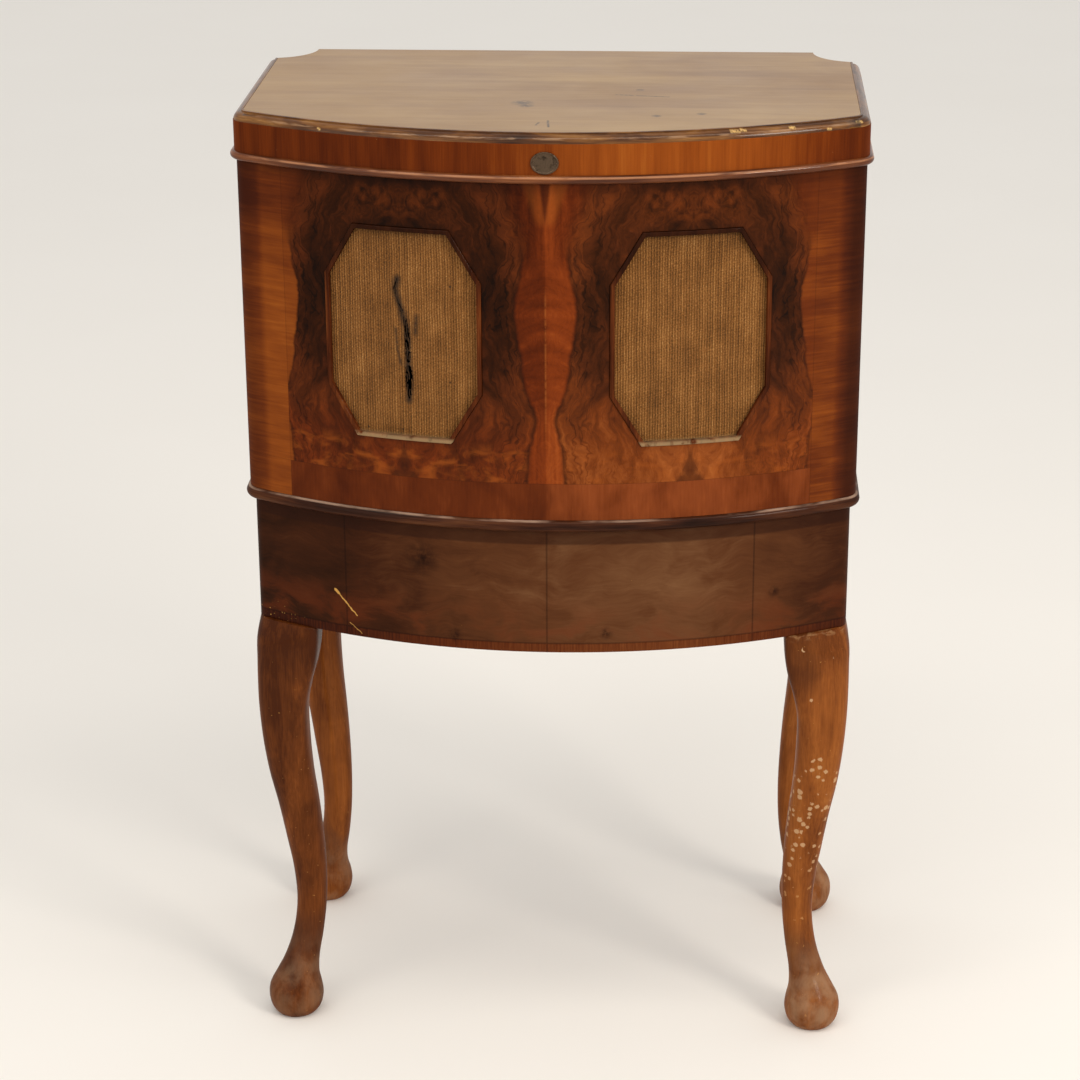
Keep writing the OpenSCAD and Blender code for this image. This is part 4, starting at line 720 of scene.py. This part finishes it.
def loft(rows, name, sharp):  # a closed skin over rings of points in mm
    work = bmesh.new()
    rings = [[work.verts.new(Vector(point) / 1000) for point in row] for row in rows]
    for one, two in zip(rings, rings[1:]):
        for corners in zip(one, one[1:] + one[:1], two[1:] + two[:1], two):
            work.faces.new(corners)
    work.faces.new(rings[0])
    work.faces.new(rings[-1])
    bmesh.ops.recalc_face_normals(work, faces=work.faces)
    return shade(emptied(work, name), sharp)


def seat(mesh, name, body, finish, slotName, *standsFor):
    piece = bpy.data.objects.new(name, mesh)
    scene.collection.objects.link(piece)
    mesh.materials.clear()
    mesh.materials.append(finishes[finish])
    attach(piece, body)
    if standsFor:
        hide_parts(*standsFor)
    return piece


def soften(piece, width, angle):  # a small bevel, its width in mm
    soft = piece.modifiers.new("softEdges", "BEVEL")
    soft.width = width / 1000
    soft.segments = 2
    soft.limit_method = "ANGLE"
    soft.angle_limit = math.radians(angle)


def dress(node, finish, slotName, bevel, smoothTo, mapped):
    # a finished copy of a CAD piece: joined faces, soft edges and smooth curves
    source = nodes[node].data
    mesh = bpy.data.meshes.new(node + "Finished")
    mesh.from_pydata([v.co[:] for v in source.vertices], [], [p.vertices[:] for p in source.polygons])
    work = bmesh.new()
    work.from_mesh(mesh)
    bmesh.ops.remove_doubles(work, verts=work.verts, dist=0.00001)
    bmesh.ops.dissolve_limit(work, angle_limit=math.radians(0.4), verts=work.verts, edges=work.edges)
    work.to_mesh(mesh)
    work.free()
    if mapped:
        mapRun(mesh)
    piece = seat(shade(mesh, smoothTo), node + "Finished", bodyOf[node], finish, slotName, node)
    if bevel:
        soften(piece, bevel, smoothTo)


wardrobe = (  # finish, slot, edge radius in mm, and the CAD nodes that have them
    ("top", "veneer", 0.6, "lid_top_panel"),
    ("moulding", "dark_wood", 0.3, "lid_edge_moulding"),
    ("rim", "veneer", 0.3, "lid_rim_front lid_rim_sides"),
    ("back", "plain_wood", 0.5, "lid_rim_back back_rail back_panel apron_back"),
    ("side", "plain_wood", 0.4, "lid_corner_blocks back_posts"),
    ("brass", "brass", 0.2, "lid_hinge_leaves case_hinge_leaves spring_barrel speed_dial"),
    ("nickel", "nickel", 0.2, "lid_stay stay_guide motor_pillars soundbox"),
    ("burr", "veneer", 0.3, "front_panel"),
    ("side", "veneer", 0.4, "side_left side_right"),
    ("inner", "inner_wood", 0.3, "bottom_board"),
    ("board", "inner_wood", 0.4, "motor_board"),
    ("inner", "inner_wood", 0.4, "deck_battens corner_blocks"),
    ("apron", "veneer", 0.5, "apron_front apron_sides"),
    ("frame", "dark_wood", 0.8, "grille_frame_left grille_frame_right"),
    ("hornPaint", "horn_paint", 0, "horn_left horn_right horn_throat"),
    ("brass", "brass", 0.1, "hinge_pins"),
    ("steel", "steel", 0.3, "motor_plates motor_bolts"),
    ("nickel", "nickel", 0.3, "crank_escutcheon arm_rest brake_lever speed_lever"),
    ("steel", "steel", 0.2, "winding_shaft"),
    ("brass", "brass", 0, "winding_gear governor"),
    ("steel", "steel", 0.1, "spindle"),
    ("nickel", "nickel", 0.6, "turntable"),
    ("felt", "felt", 0.5, "turntable_felt"),
    ("nickel", "nickel", 0.4, "tone_arm_base"),
    ("nickel", "nickel", 0, "tone_arm"),
)
roundWork = (  # shaded smooth over wider angles
    "tone_arm tone_arm_base soundbox lid_stay horn_left horn_right horn_throat turntable turntable_felt "
    "spindle spring_barrel arm_rest hinge_pins").split()
roundTheCase = ("moulding", "rim", "burr", "apron")  # finishes whose grain follows the case
dressed = 0
for finish, slotName, bevel, members in wardrobe:
    for node in members.split():
        dress(node, finish, slotName, bevel, 55 if node in roundWork else 38, finish in roundTheCase)
        dressed += 1
print("pieces dressed:", dressed)


# Geometry Nodes trees, and how one is grown into a plain mesh
def newTree(name, inputs):
    tree = desk["tree"] = bpy.data.node_groups.new(name, "GeometryNodeTree")
    tree.interface.new_socket("Geometry", in_out="INPUT", socket_type="NodeSocketGeometry")
    for label, kind in inputs:
        tree.interface.new_socket(label, in_out="INPUT", socket_type="NodeSocket" + kind)
    tree.interface.new_socket("Geometry", in_out="OUTPUT", socket_type="NodeSocketGeometry")
    return tree, put("NodeGroupInput").outputs


def endTree(shape, finish):
    whole = put("GeometryNodeRealizeInstances", {"Geometry": shape})
    put("NodeGroupOutput", {0: put("GeometryNodeSetMaterial", {"Geometry": whole, "Material": finish})})


def grow(tree, source, values, name):
    holder = bpy.data.objects.new(name, source)
    scene.collection.objects.link(holder)
    modifier = holder.modifiers.new("grow", "NODES")
    modifier.node_group = tree
    for item in tree.interface.items_tree:
        if item.in_out == "INPUT" and item.name in values:
            modifier[item.identifier] = values[item.name]
    holder.update_tag()
    mesh = bpy.data.meshes.new_from_object(holder.evaluated_get(bpy.context.evaluated_depsgraph_get()))
    mesh.name = name
    bpy.data.objects.remove(holder)
    return mesh


# Beads: half rounds that run round the lid and the waist
beads = {
    "lid_bead": {"finish": "bead", "inset": 0, "end": 139.15, "radius": 4, "height": 922},
    "waist_bead": {"finish": "darkBead", "inset": 4, "end": 185.15, "radius": 6, "height": 583},
}


def beadTree():
    tree, inputs = newTree("half-round bead", [("Radius", "Float"), ("Sides", "Int"), ("Finish", "Material")])
    path = put("GeometryNodeMeshToCurve", {"Mesh": inputs["Geometry"]})
    path = put("GeometryNodeSetCurveNormal", {"Curve": path}, mode="Z_UP")
    arc = put("GeometryNodeCurveArc", {"Resolution": inputs["Sides"], "Radius": inputs["Radius"],
        "Start Angle": -math.pi / 2, "Sweep Angle": math.pi})
    closed = put("GeometryNodeSetSplineCyclic", {"Geometry": arc, "Cyclic": True})
    swept = put("GeometryNodeCurveToMesh", {"Curve": path, "Profile Curve": closed, "Fill Caps": True})
    endTree(swept, inputs["Finish"])
    return tree


halfRound = beadTree()
for node, bead in beads.items():
    plan = casePath(bead["inset"], bead["end"])
    line = bpy.data.meshes.new("beadPath")
    line.from_pydata([(x / 1000, y / 1000, bead["height"] / 1000) for x, y in plan],
        [(i, i + 1) for i in range(len(plan) - 1)], [])
    values = {"Radius": bead["radius"] / 1000, "Sides": 13, "Finish": finishes[bead["finish"]]}
    mesh = grow(halfRound, line, values, node + "Swept")
    mapRun(mesh)
    seat(shade(mesh, 50), node + "Swept", bodyOf[node], bead["finish"], "dark_wood", node)
print("beads swept")


# Screws: domed heads with a slot, turned at random
def screwTree():
    tree, inputs = newTree("slotted screws", [("Radius", "Float"), ("Rise", "Float"), ("Length", "Float"),
        ("Slot", "Float"), ("Seed", "Int"), ("Finish", "Material")])
    dome = put("GeometryNodeMeshUVSphere", {"Segments": 20, "Rings": 12, "Radius": inputs["Radius"]})
    flat = put("ShaderNodeCombineXYZ", {0: 1, 1: 1, 2: maths("DIVIDE", inputs["Rise"], inputs["Radius"])})
    dome = put("GeometryNodeTransform", {"Geometry": dome, "Scale": flat})
    size = put("ShaderNodeCombineXYZ", {0: maths("MULTIPLY", inputs["Radius"], 3), 1: inputs["Slot"],
        2: maths("MULTIPLY", inputs["Rise"], 1.2)})
    lift = put("ShaderNodeCombineXYZ", {2: inputs["Rise"]})
    cut = put("GeometryNodeTransform", {"Geometry": put("GeometryNodeMeshCube", {"Size": size}),
        "Translation": lift})
    head = put("GeometryNodeMeshBoolean", {"Mesh 1": dome, "Mesh 2": cut}, operation="DIFFERENCE")
    thin = maths("MULTIPLY", inputs["Radius"], 0.5)
    shank = put("GeometryNodeMeshCylinder", {"Vertices": 12, "Radius": thin, "Depth": inputs["Length"]})
    down = put("ShaderNodeCombineXYZ", {2: maths("MULTIPLY", inputs["Length"], -0.5)})
    shank = put("GeometryNodeTransform", {"Geometry": shank, "Translation": down})
    screw = put("GeometryNodeJoinGeometry")
    for piece in (head, shank):
        tree.links.new(piece.outputs[0], screw.inputs[0])
    facing = put("GeometryNodeInputNamedAttribute", {"Name": "facing"}, data_type="FLOAT_VECTOR")
    turn = put("FunctionNodeAlignRotationToVector", {"Vector": facing}, axis="Z")
    spin = put("FunctionNodeRandomValue", {"Min": 0, "Max": math.pi, "Seed": inputs["Seed"]}, data_type="FLOAT")
    spin = put("FunctionNodeAxisAngleToRotation", {"Axis": (0, 0, 1), "Angle": spin})
    turn = put("FunctionNodeRotateRotation", {0: turn, 1: spin}, rotation_space="LOCAL")
    placed = put("GeometryNodeInstanceOnPoints", {"Points": inputs["Geometry"], "Instance": screw,
        "Rotation": turn})
    endTree(placed, inputs["Finish"])
    return tree


screws = {  # node: finish, slot name, the way the heads face, head radius and rise in mm
    "case_screws": ("steel", "steel", (0, 1, 0), 3, 1.4),
    "lid_hinge_screws": ("brass", "brass", (0, 0, -1), 2.7, 0.9),
    "pivot_screws": ("steel", "steel", (0, 0, 1), 5, 1.5),
    "plaque_pins": ("bronze", "bronze", (0, -1, 0), 1.1, 0.7),
}


def islandsOf(node):  # low and high corner of each loose part of a CAD node, in mm
    work = bmesh.new()
    work.from_mesh(nodes[node].data)
    bmesh.ops.remove_doubles(work, verts=work.verts, dist=0.00001)
    left, found = set(work.verts), []
    while left:
        island, edge = set(), [left.pop()]
        while edge:
            vert = edge.pop()
            island.add(vert)
            for link in vert.link_edges:
                other = link.other_vert(vert)
                if other in left:
                    left.remove(other)
                    edge.append(other)
        points = [vert.co * 1000 for vert in island]
        found.append([Vector([end(p[i] for p in points) for i in range(3)]) for end in (min, max)])
    work.free()
    return found


slotted = screwTree()
for number, (node, (finish, slotName, facing, radius, rise)) in enumerate(screws.items()):
    kinds = {}  # screws that face the same way and are as long as each other
    for low, high in islandsOf(node):
        outward, size = Vector(facing), high - low
        if size.z > 1.2 * abs(size.dot(outward)):  # those that hold the hinges to the rail stand upright
            outward = Vector((0, 0, 1))
        reach = abs(size.dot(outward))
        spot = (low + high) / 2 + outward * max(reach / 2 - rise, 0)
        kinds.setdefault((outward[:], round(max(reach - rise, 0.5), 1)), []).append(spot / 1000)
    work = bmesh.new()
    for (outward, length), spots in kinds.items():
        points = bpy.data.meshes.new("screwPlaces")
        points.from_pydata(spots, [], [])
        way = points.attributes.new("facing", "FLOAT_VECTOR", "POINT")
        for i in range(len(spots)):
            way.data[i].vector = outward
        work.from_mesh(grow(slotted, points, {"Radius": radius / 1000, "Rise": rise / 1000,
            "Length": length / 1000, "Slot": radius * 0.24 / 1000, "Seed": number + 3,
            "Finish": finishes[finish]}, "screwGroup"))
    mesh = shade(emptied(work, node + "Slotted"), 32)
    seat(mesh, node + "Slotted", bodyOf[node], finish, slotName, node)
print("screws set")


# Legs: sections along the cabriole, finer than the CAD's
cabriole = {
    "height": 450, "knee": 64, "ankle": 31, "foot": 57, "sides": 56, "rings": 5,
    # height as a share, lean, the width that the next number is a share of, and squareness
    "stations": [
        (1.000, -9.04, "knee", 0.97, 5), (0.950, -6.34, "knee", 1.02, 5), (0.900, -4.4, "knee", 0.97, 4.6),
        (0.850, -1.4, "knee", 0.875, 4), (0.790, 0.8, "knee", 0.785, 3.4), (0.711, -0.2, "knee", 0.74, 2.9),
        (0.622, -3.5, "knee", 0.70, 2.6), (0.533, -9, "knee", 0.65, 2.4), (0.444, -13.5, "knee", 0.60, 2.3),
        (0.356, -17, "ankle", 1.10, 2.1), (0.271, -17.5, "ankle", 1, 2), (0.196, -13.5, "ankle", 1.02, 2),
        (0.138, -7, "ankle", 1.16, 2), (0.098, -2, "foot", 0.79, 2), (0.070, 0, "foot", 0.95, 2),
        (0.043, 0, "foot", 1, 2), (0.017, 0, "foot", 0.91, 2), (0.000, 0, "foot", 0.72, 2)],
}


def curveThrough(a, b, c, d, t):
    return b + 0.5 * t * (c - a + t * (2 * a - 5 * b + 4 * c - d + t * (3 * (b - c) + d - a)))


def legMesh(name, footPlace, hand, forward, rake):
    stations = [(at, lean, cabriole[part] * share, square)
        for at, lean, part, share, square in cabriole["stations"]]
    last, rings, sides = len(stations) - 1, [], cabriole["sides"]
    for i in range(last * cabriole["rings"] + 1):
        k, t = divmod(i, cabriole["rings"])
        around = [stations[min(max(k + o, 0), last)] for o in (-1, 0, 1, 2)]
        share, lean, width, square = (curveThrough(*[row[c] for row in around], t / cabriole["rings"])
            for c in range(4))
        follow = rake * max(0, share - 0.7) / 0.3
        ring = []
        for j in range(sides):
            across, along = math.cos(2 * math.pi * j / sides), math.sin(2 * math.pi * j / sides)
            r = width / 2 * (abs(across) ** square + abs(along) ** square) ** (-1 / square)
            x, y = lean + r * across, lean + r * along - follow * r * across
            ring.append((footPlace[0] + hand * x, footPlace[1] + forward * y, share * cabriole["height"]))
        rings.append(ring)
    return loft(rings, name, 50)


legs = (  # node, which side, which way it faces, and how far its knee is flattened
    ("leg_front_left", -1, -1, 0.5), ("leg_front_right", 1, -1, 0.5),
    ("leg_back_left", -1, 1, 0), ("leg_back_right", 1, 1, 0))
for node, hand, forward, rake in legs:
    low = [v.co for v in nodes[node].data.vertices if v.co.z < 0.0005]
    foot = [(min(p[i] for p in low) + max(p[i] for p in low)) * 500 for i in range(2)]
    mesh = legMesh(node + "Carved", foot, hand, forward, rake)
    leg = seat(mesh, node + "Carved", "case", "leg", "leg_wood", node)
    soften(leg, 1.2, 45)
print("legs carved")


# Plaque: a bare oval with a raised rim, pinned to the lid
plaque = {"width": 26, "height": 21, "middle": 937.5, "sides": 64,
          # share of the width and height, and how far it stands proud
          "rows": [(1, 0), (1, 1), (0.985, 1.4), (0.95, 1.6), (0.90, 1.55), (0.875, 1.25), (0.86, 0.85),
                   (0.82, 0.75), (0.6, 0.82), (0.3, 0.95), (0.12, 1)]}


def plaqueMesh():
    rings = []
    for share, proud in plaque["rows"]:
        ring = []
        for j in range(plaque["sides"]):
            a = 2 * math.pi * j / plaque["sides"]
            x = plaque["width"] / 2 * share * math.cos(a)
            y = caseShape["bowCentre"] - math.sqrt((caseShape["bowRadius"] + proud) ** 2 - x * x)
            ring.append((x, y, plaque["middle"] + plaque["height"] / 2 * share * math.sin(a)))
        rings.append(ring)
    return loft(rings, "plaque", 60)


seat(plaqueMesh(), "lidPlaqueCast", "lid", "bronze", "bronze", "lid_plaque")
print("plaque cast")


# Grille cloths: stretched over the horn mouths, the left one torn
grille = {"centreZ": 767, "run": 138, "width": 155, "height": 209, "cutX": 30, "cutZ": 50,
          "depth": 6, "thickness": 1, "columns": 60, "rows": 190, "yarns": 22,
          # height from the middle, place across, half width, in mm
          "tear": [(55, -5, 0), (50, -6.2, 0.9), (44, -7.9, 1.5), (38, -7.4, 0.9), (36.5, -7.2, 0), (35, -7, 0.9),
                   (27, -4, 1.3), (21, -1.2, 1.5), (18.6, 0, 0), (17, 0.4, 0), (15, 1.2, 1.6), (4, 3, 2),
                   (-8, 3.4, 2.6), (-15, 3.6, 2.4), (-16.5, 3.6, 0.4), (-18, 3.7, 2.6), (-27, 3.9, 2), (-29, 4, 0),
                   (-30.5, 4, 0), (-33, 4.1, 2.6), (-44, 4.4, 3.7), (-54, 4.6, 3.2), (-61, 4.7, 1.6), (-66, 4.6, 0)]}


def between(rows, at):  # values at a height, from rows of (height, value, value)
    for above, below in zip(rows, rows[1:]):
        if above[0] >= at >= below[0]:
            share = (above[0] - at) / (above[0] - below[0])
            return [a + (b - a) * share for a, b in zip(above[1:], below[1:])]
    return [rows[0][1], 0] if at > rows[0][0] else [rows[-1][1], 0]


def clothMesh(side, torn):
    half, tall = grille["width"] / 2 - 0.3, grille["height"] / 2 - 0.3
    work = bmesh.new()
    layer = work.loops.layers.uv.new("run")
    radius = caseShape["bowRadius"] - grille["depth"]

    def corner(deep, s, z):  # a vertex on the bow, and its way round the case
        way = side * grille["run"] + s
        angle = way / caseShape["bowRadius"]
        spot = (deep * math.sin(angle), caseShape["bowCentre"] - deep * math.cos(angle), grille["centreZ"] + z)
        return work.verts.new(Vector(spot) / 1000), way / 1000

    def patch(*ring):
        face = work.faces.new([vert for vert, _ in ring])
        for loop, (vert, way) in zip(face.loops, ring):
            loop[layer].uv = (way, vert.co.z)
        return face

    for hand in (-1, 1):
        lattice = []
        for row in range(grille["rows"] + 1):
            z = tall - 2 * tall * row / grille["rows"]
            cut = max(0, abs(z) - (tall - grille["cutZ"])) / grille["cutZ"] * grille["cutX"]
            mid, gap = between(grille["tear"], z) if torn else (0, 0)
            if gap > 0.6:
                gap += 0.35 * math.sin(z * 2.7 + hand) + 0.30 * math.sin(z * 7.1 + 2 * hand)
            inner, outer = mid + hand * max(gap, 0), hand * (half - cut)
            line = []
            for column in range(grille["columns"] + 1):
                share = (column / grille["columns"]) ** (1.6 if torn else 1)
                s = inner + (outer - inner) * share
                curl = gap * 0.55 * math.exp(-abs(s - inner) / 2.5)
                slack = 0.7 * math.cos(math.pi * min(abs(s) / half, 1) / 2) * math.cos(math.pi * z / tall / 2)
                line.append(corner(radius - curl - slack, s, z))
            lattice.append(line)
        for upper, lower in zip(lattice, lattice[1:]):
            for a, b, c, d in zip(upper, upper[1:], lower[1:], lower):
                patch(*((a, b, c, d) if hand < 0 else (d, c, b, a))).smooth = True
    for number in range(grille["yarns"] if torn else 0):  # loose yarns hang down in the tear
        top = 52 - 112 * number / grille["yarns"]
        offset = between(grille["tear"], top)[1] * 0.75 * math.sin(number * 2.4)
        length = 7 + 9 * (0.5 + 0.5 * math.sin(number * 1.7))
        line = []
        for i in range(9):
            z = top - length * i / 8
            s = between(grille["tear"], z)[0] + offset + 0.5 * math.sin(number + i * 0.6)
            line += [corner(radius - 1.1, s + reach, z) for reach in (-0.28, 0.28)]
        for a, b, c, d in zip(line[0::2], line[1::2], line[3::2], line[2::2]):
            patch(a, b, c, d)
    bmesh.ops.remove_doubles(work, verts=work.verts, dist=0.00002)
    bmesh.ops.recalc_face_normals(work, faces=work.faces)
    if sum(face.normal.y for face in work.faces) > 0:
        bmesh.ops.reverse_faces(work, faces=work.faces)
    return emptied(work, "grilleCloth")


for side, word in ((-1, "left"), (1, "right")):
    mesh = clothMesh(side, side < 0)
    cloth = seat(mesh, "grilleCloth" + word.title(), "case", "cloth", "grille_cloth", "grille_cloth_" + word)
    thick = cloth.modifiers.new("thickness", "SOLIDIFY")
    thick.thickness = grille["thickness"] / 1000
    thick.offset = -1
print("cloths stretched")


# Studio: pale floor, soft light
studio = {"floor": "#F4F1EC", "mottle": "#ECE8E2", "reach": 40, "fadeFrom": 6, "fadeTo": 13, "sky": "#FFFDFA",
          "skyLight": 0.80, "lampColour": "#FFF7EC",
          # place, width, height, power
          "lamps": [((2.5, -2.3, 2.3), 1, 1, 48), ((-2.2, -2.8, 1.7), 2, 2, 9), ((0.2, -0.9, 2.9), 4, 0.5, 24)]}


def seen():  # 1 for rays that show the studio itself, 0 for those that carry its light
    ray = put("ShaderNodeLightPath").outputs
    return most(ray["Is Camera Ray"], ray["Is Glossy Ray"], ray["Is Transmission Ray"])


def buildStudio():
    reach = studio["reach"]
    mesh = bpy.data.meshes.new("floor")
    mesh.from_pydata([(-reach, -reach, 0), (reach, -reach, 0), (reach, reach, 0), (-reach, reach, 0)], [],
        [(0, 1, 2, 3)])
    floor = bpy.data.objects.new("floor", mesh)
    scene.collection.objects.link(floor)
    mesh.materials.append(newFinish("pale matt floor paper"))
    place = ownPlace()
    mottle = cloud(place, (0.5, 0.5, 0.5), 2, 0.5)
    paper = put("ShaderNodeBsdfPrincipled", {"Base Color": over(studio["floor"], studio["mottle"], mottle, 0.4),
        "Roughness": 0.85, "Specular IOR Level": 0.1})
    # far from the cabinet the floor runs into the white of the background, so no horizon shows
    far = step(vectors("LENGTH", place).outputs["Value"], studio["fadeFrom"], studio["fadeTo"])
    white = put("ShaderNodeEmission", {"Color": studio["sky"], "Strength": 1})
    floorLook = put("ShaderNodeMixShader", {0: product(far, seen()), 1: paper, 2: white})
    put("ShaderNodeOutputMaterial", {"Surface": floorLook})
    scene.world = bpy.data.worlds.new("studio")
    scene.world.use_nodes = True
    desk["tree"] = scene.world.node_tree
    desk["tree"].nodes.clear()
    light = {"Color": studio["sky"], "Strength": ranged(seen(), 0, 1, studio["skyLight"])}
    put("ShaderNodeOutputWorld", {"Surface": put("ShaderNodeBackground", light)})
    for number, (place, wide, high, power) in enumerate(studio["lamps"]):
        data = bpy.data.lights.new("softbox" + str(number), "AREA")
        data.shape = "RECTANGLE"
        data.size, data.size_y = wide, high
        data.energy = power
        data.color = ink(studio["lampColour"])[:3]
        lamp = bpy.data.objects.new(data.name, data)
        scene.collection.objects.link(lamp)
        lamp.location = place
        lamp.rotation_euler = (Vector((0, 0, 0.55)) - Vector(place)).to_track_quat("-Z", "Y").to_euler()


buildStudio()
print("studio lit")

bpy.context.view_layer.update()
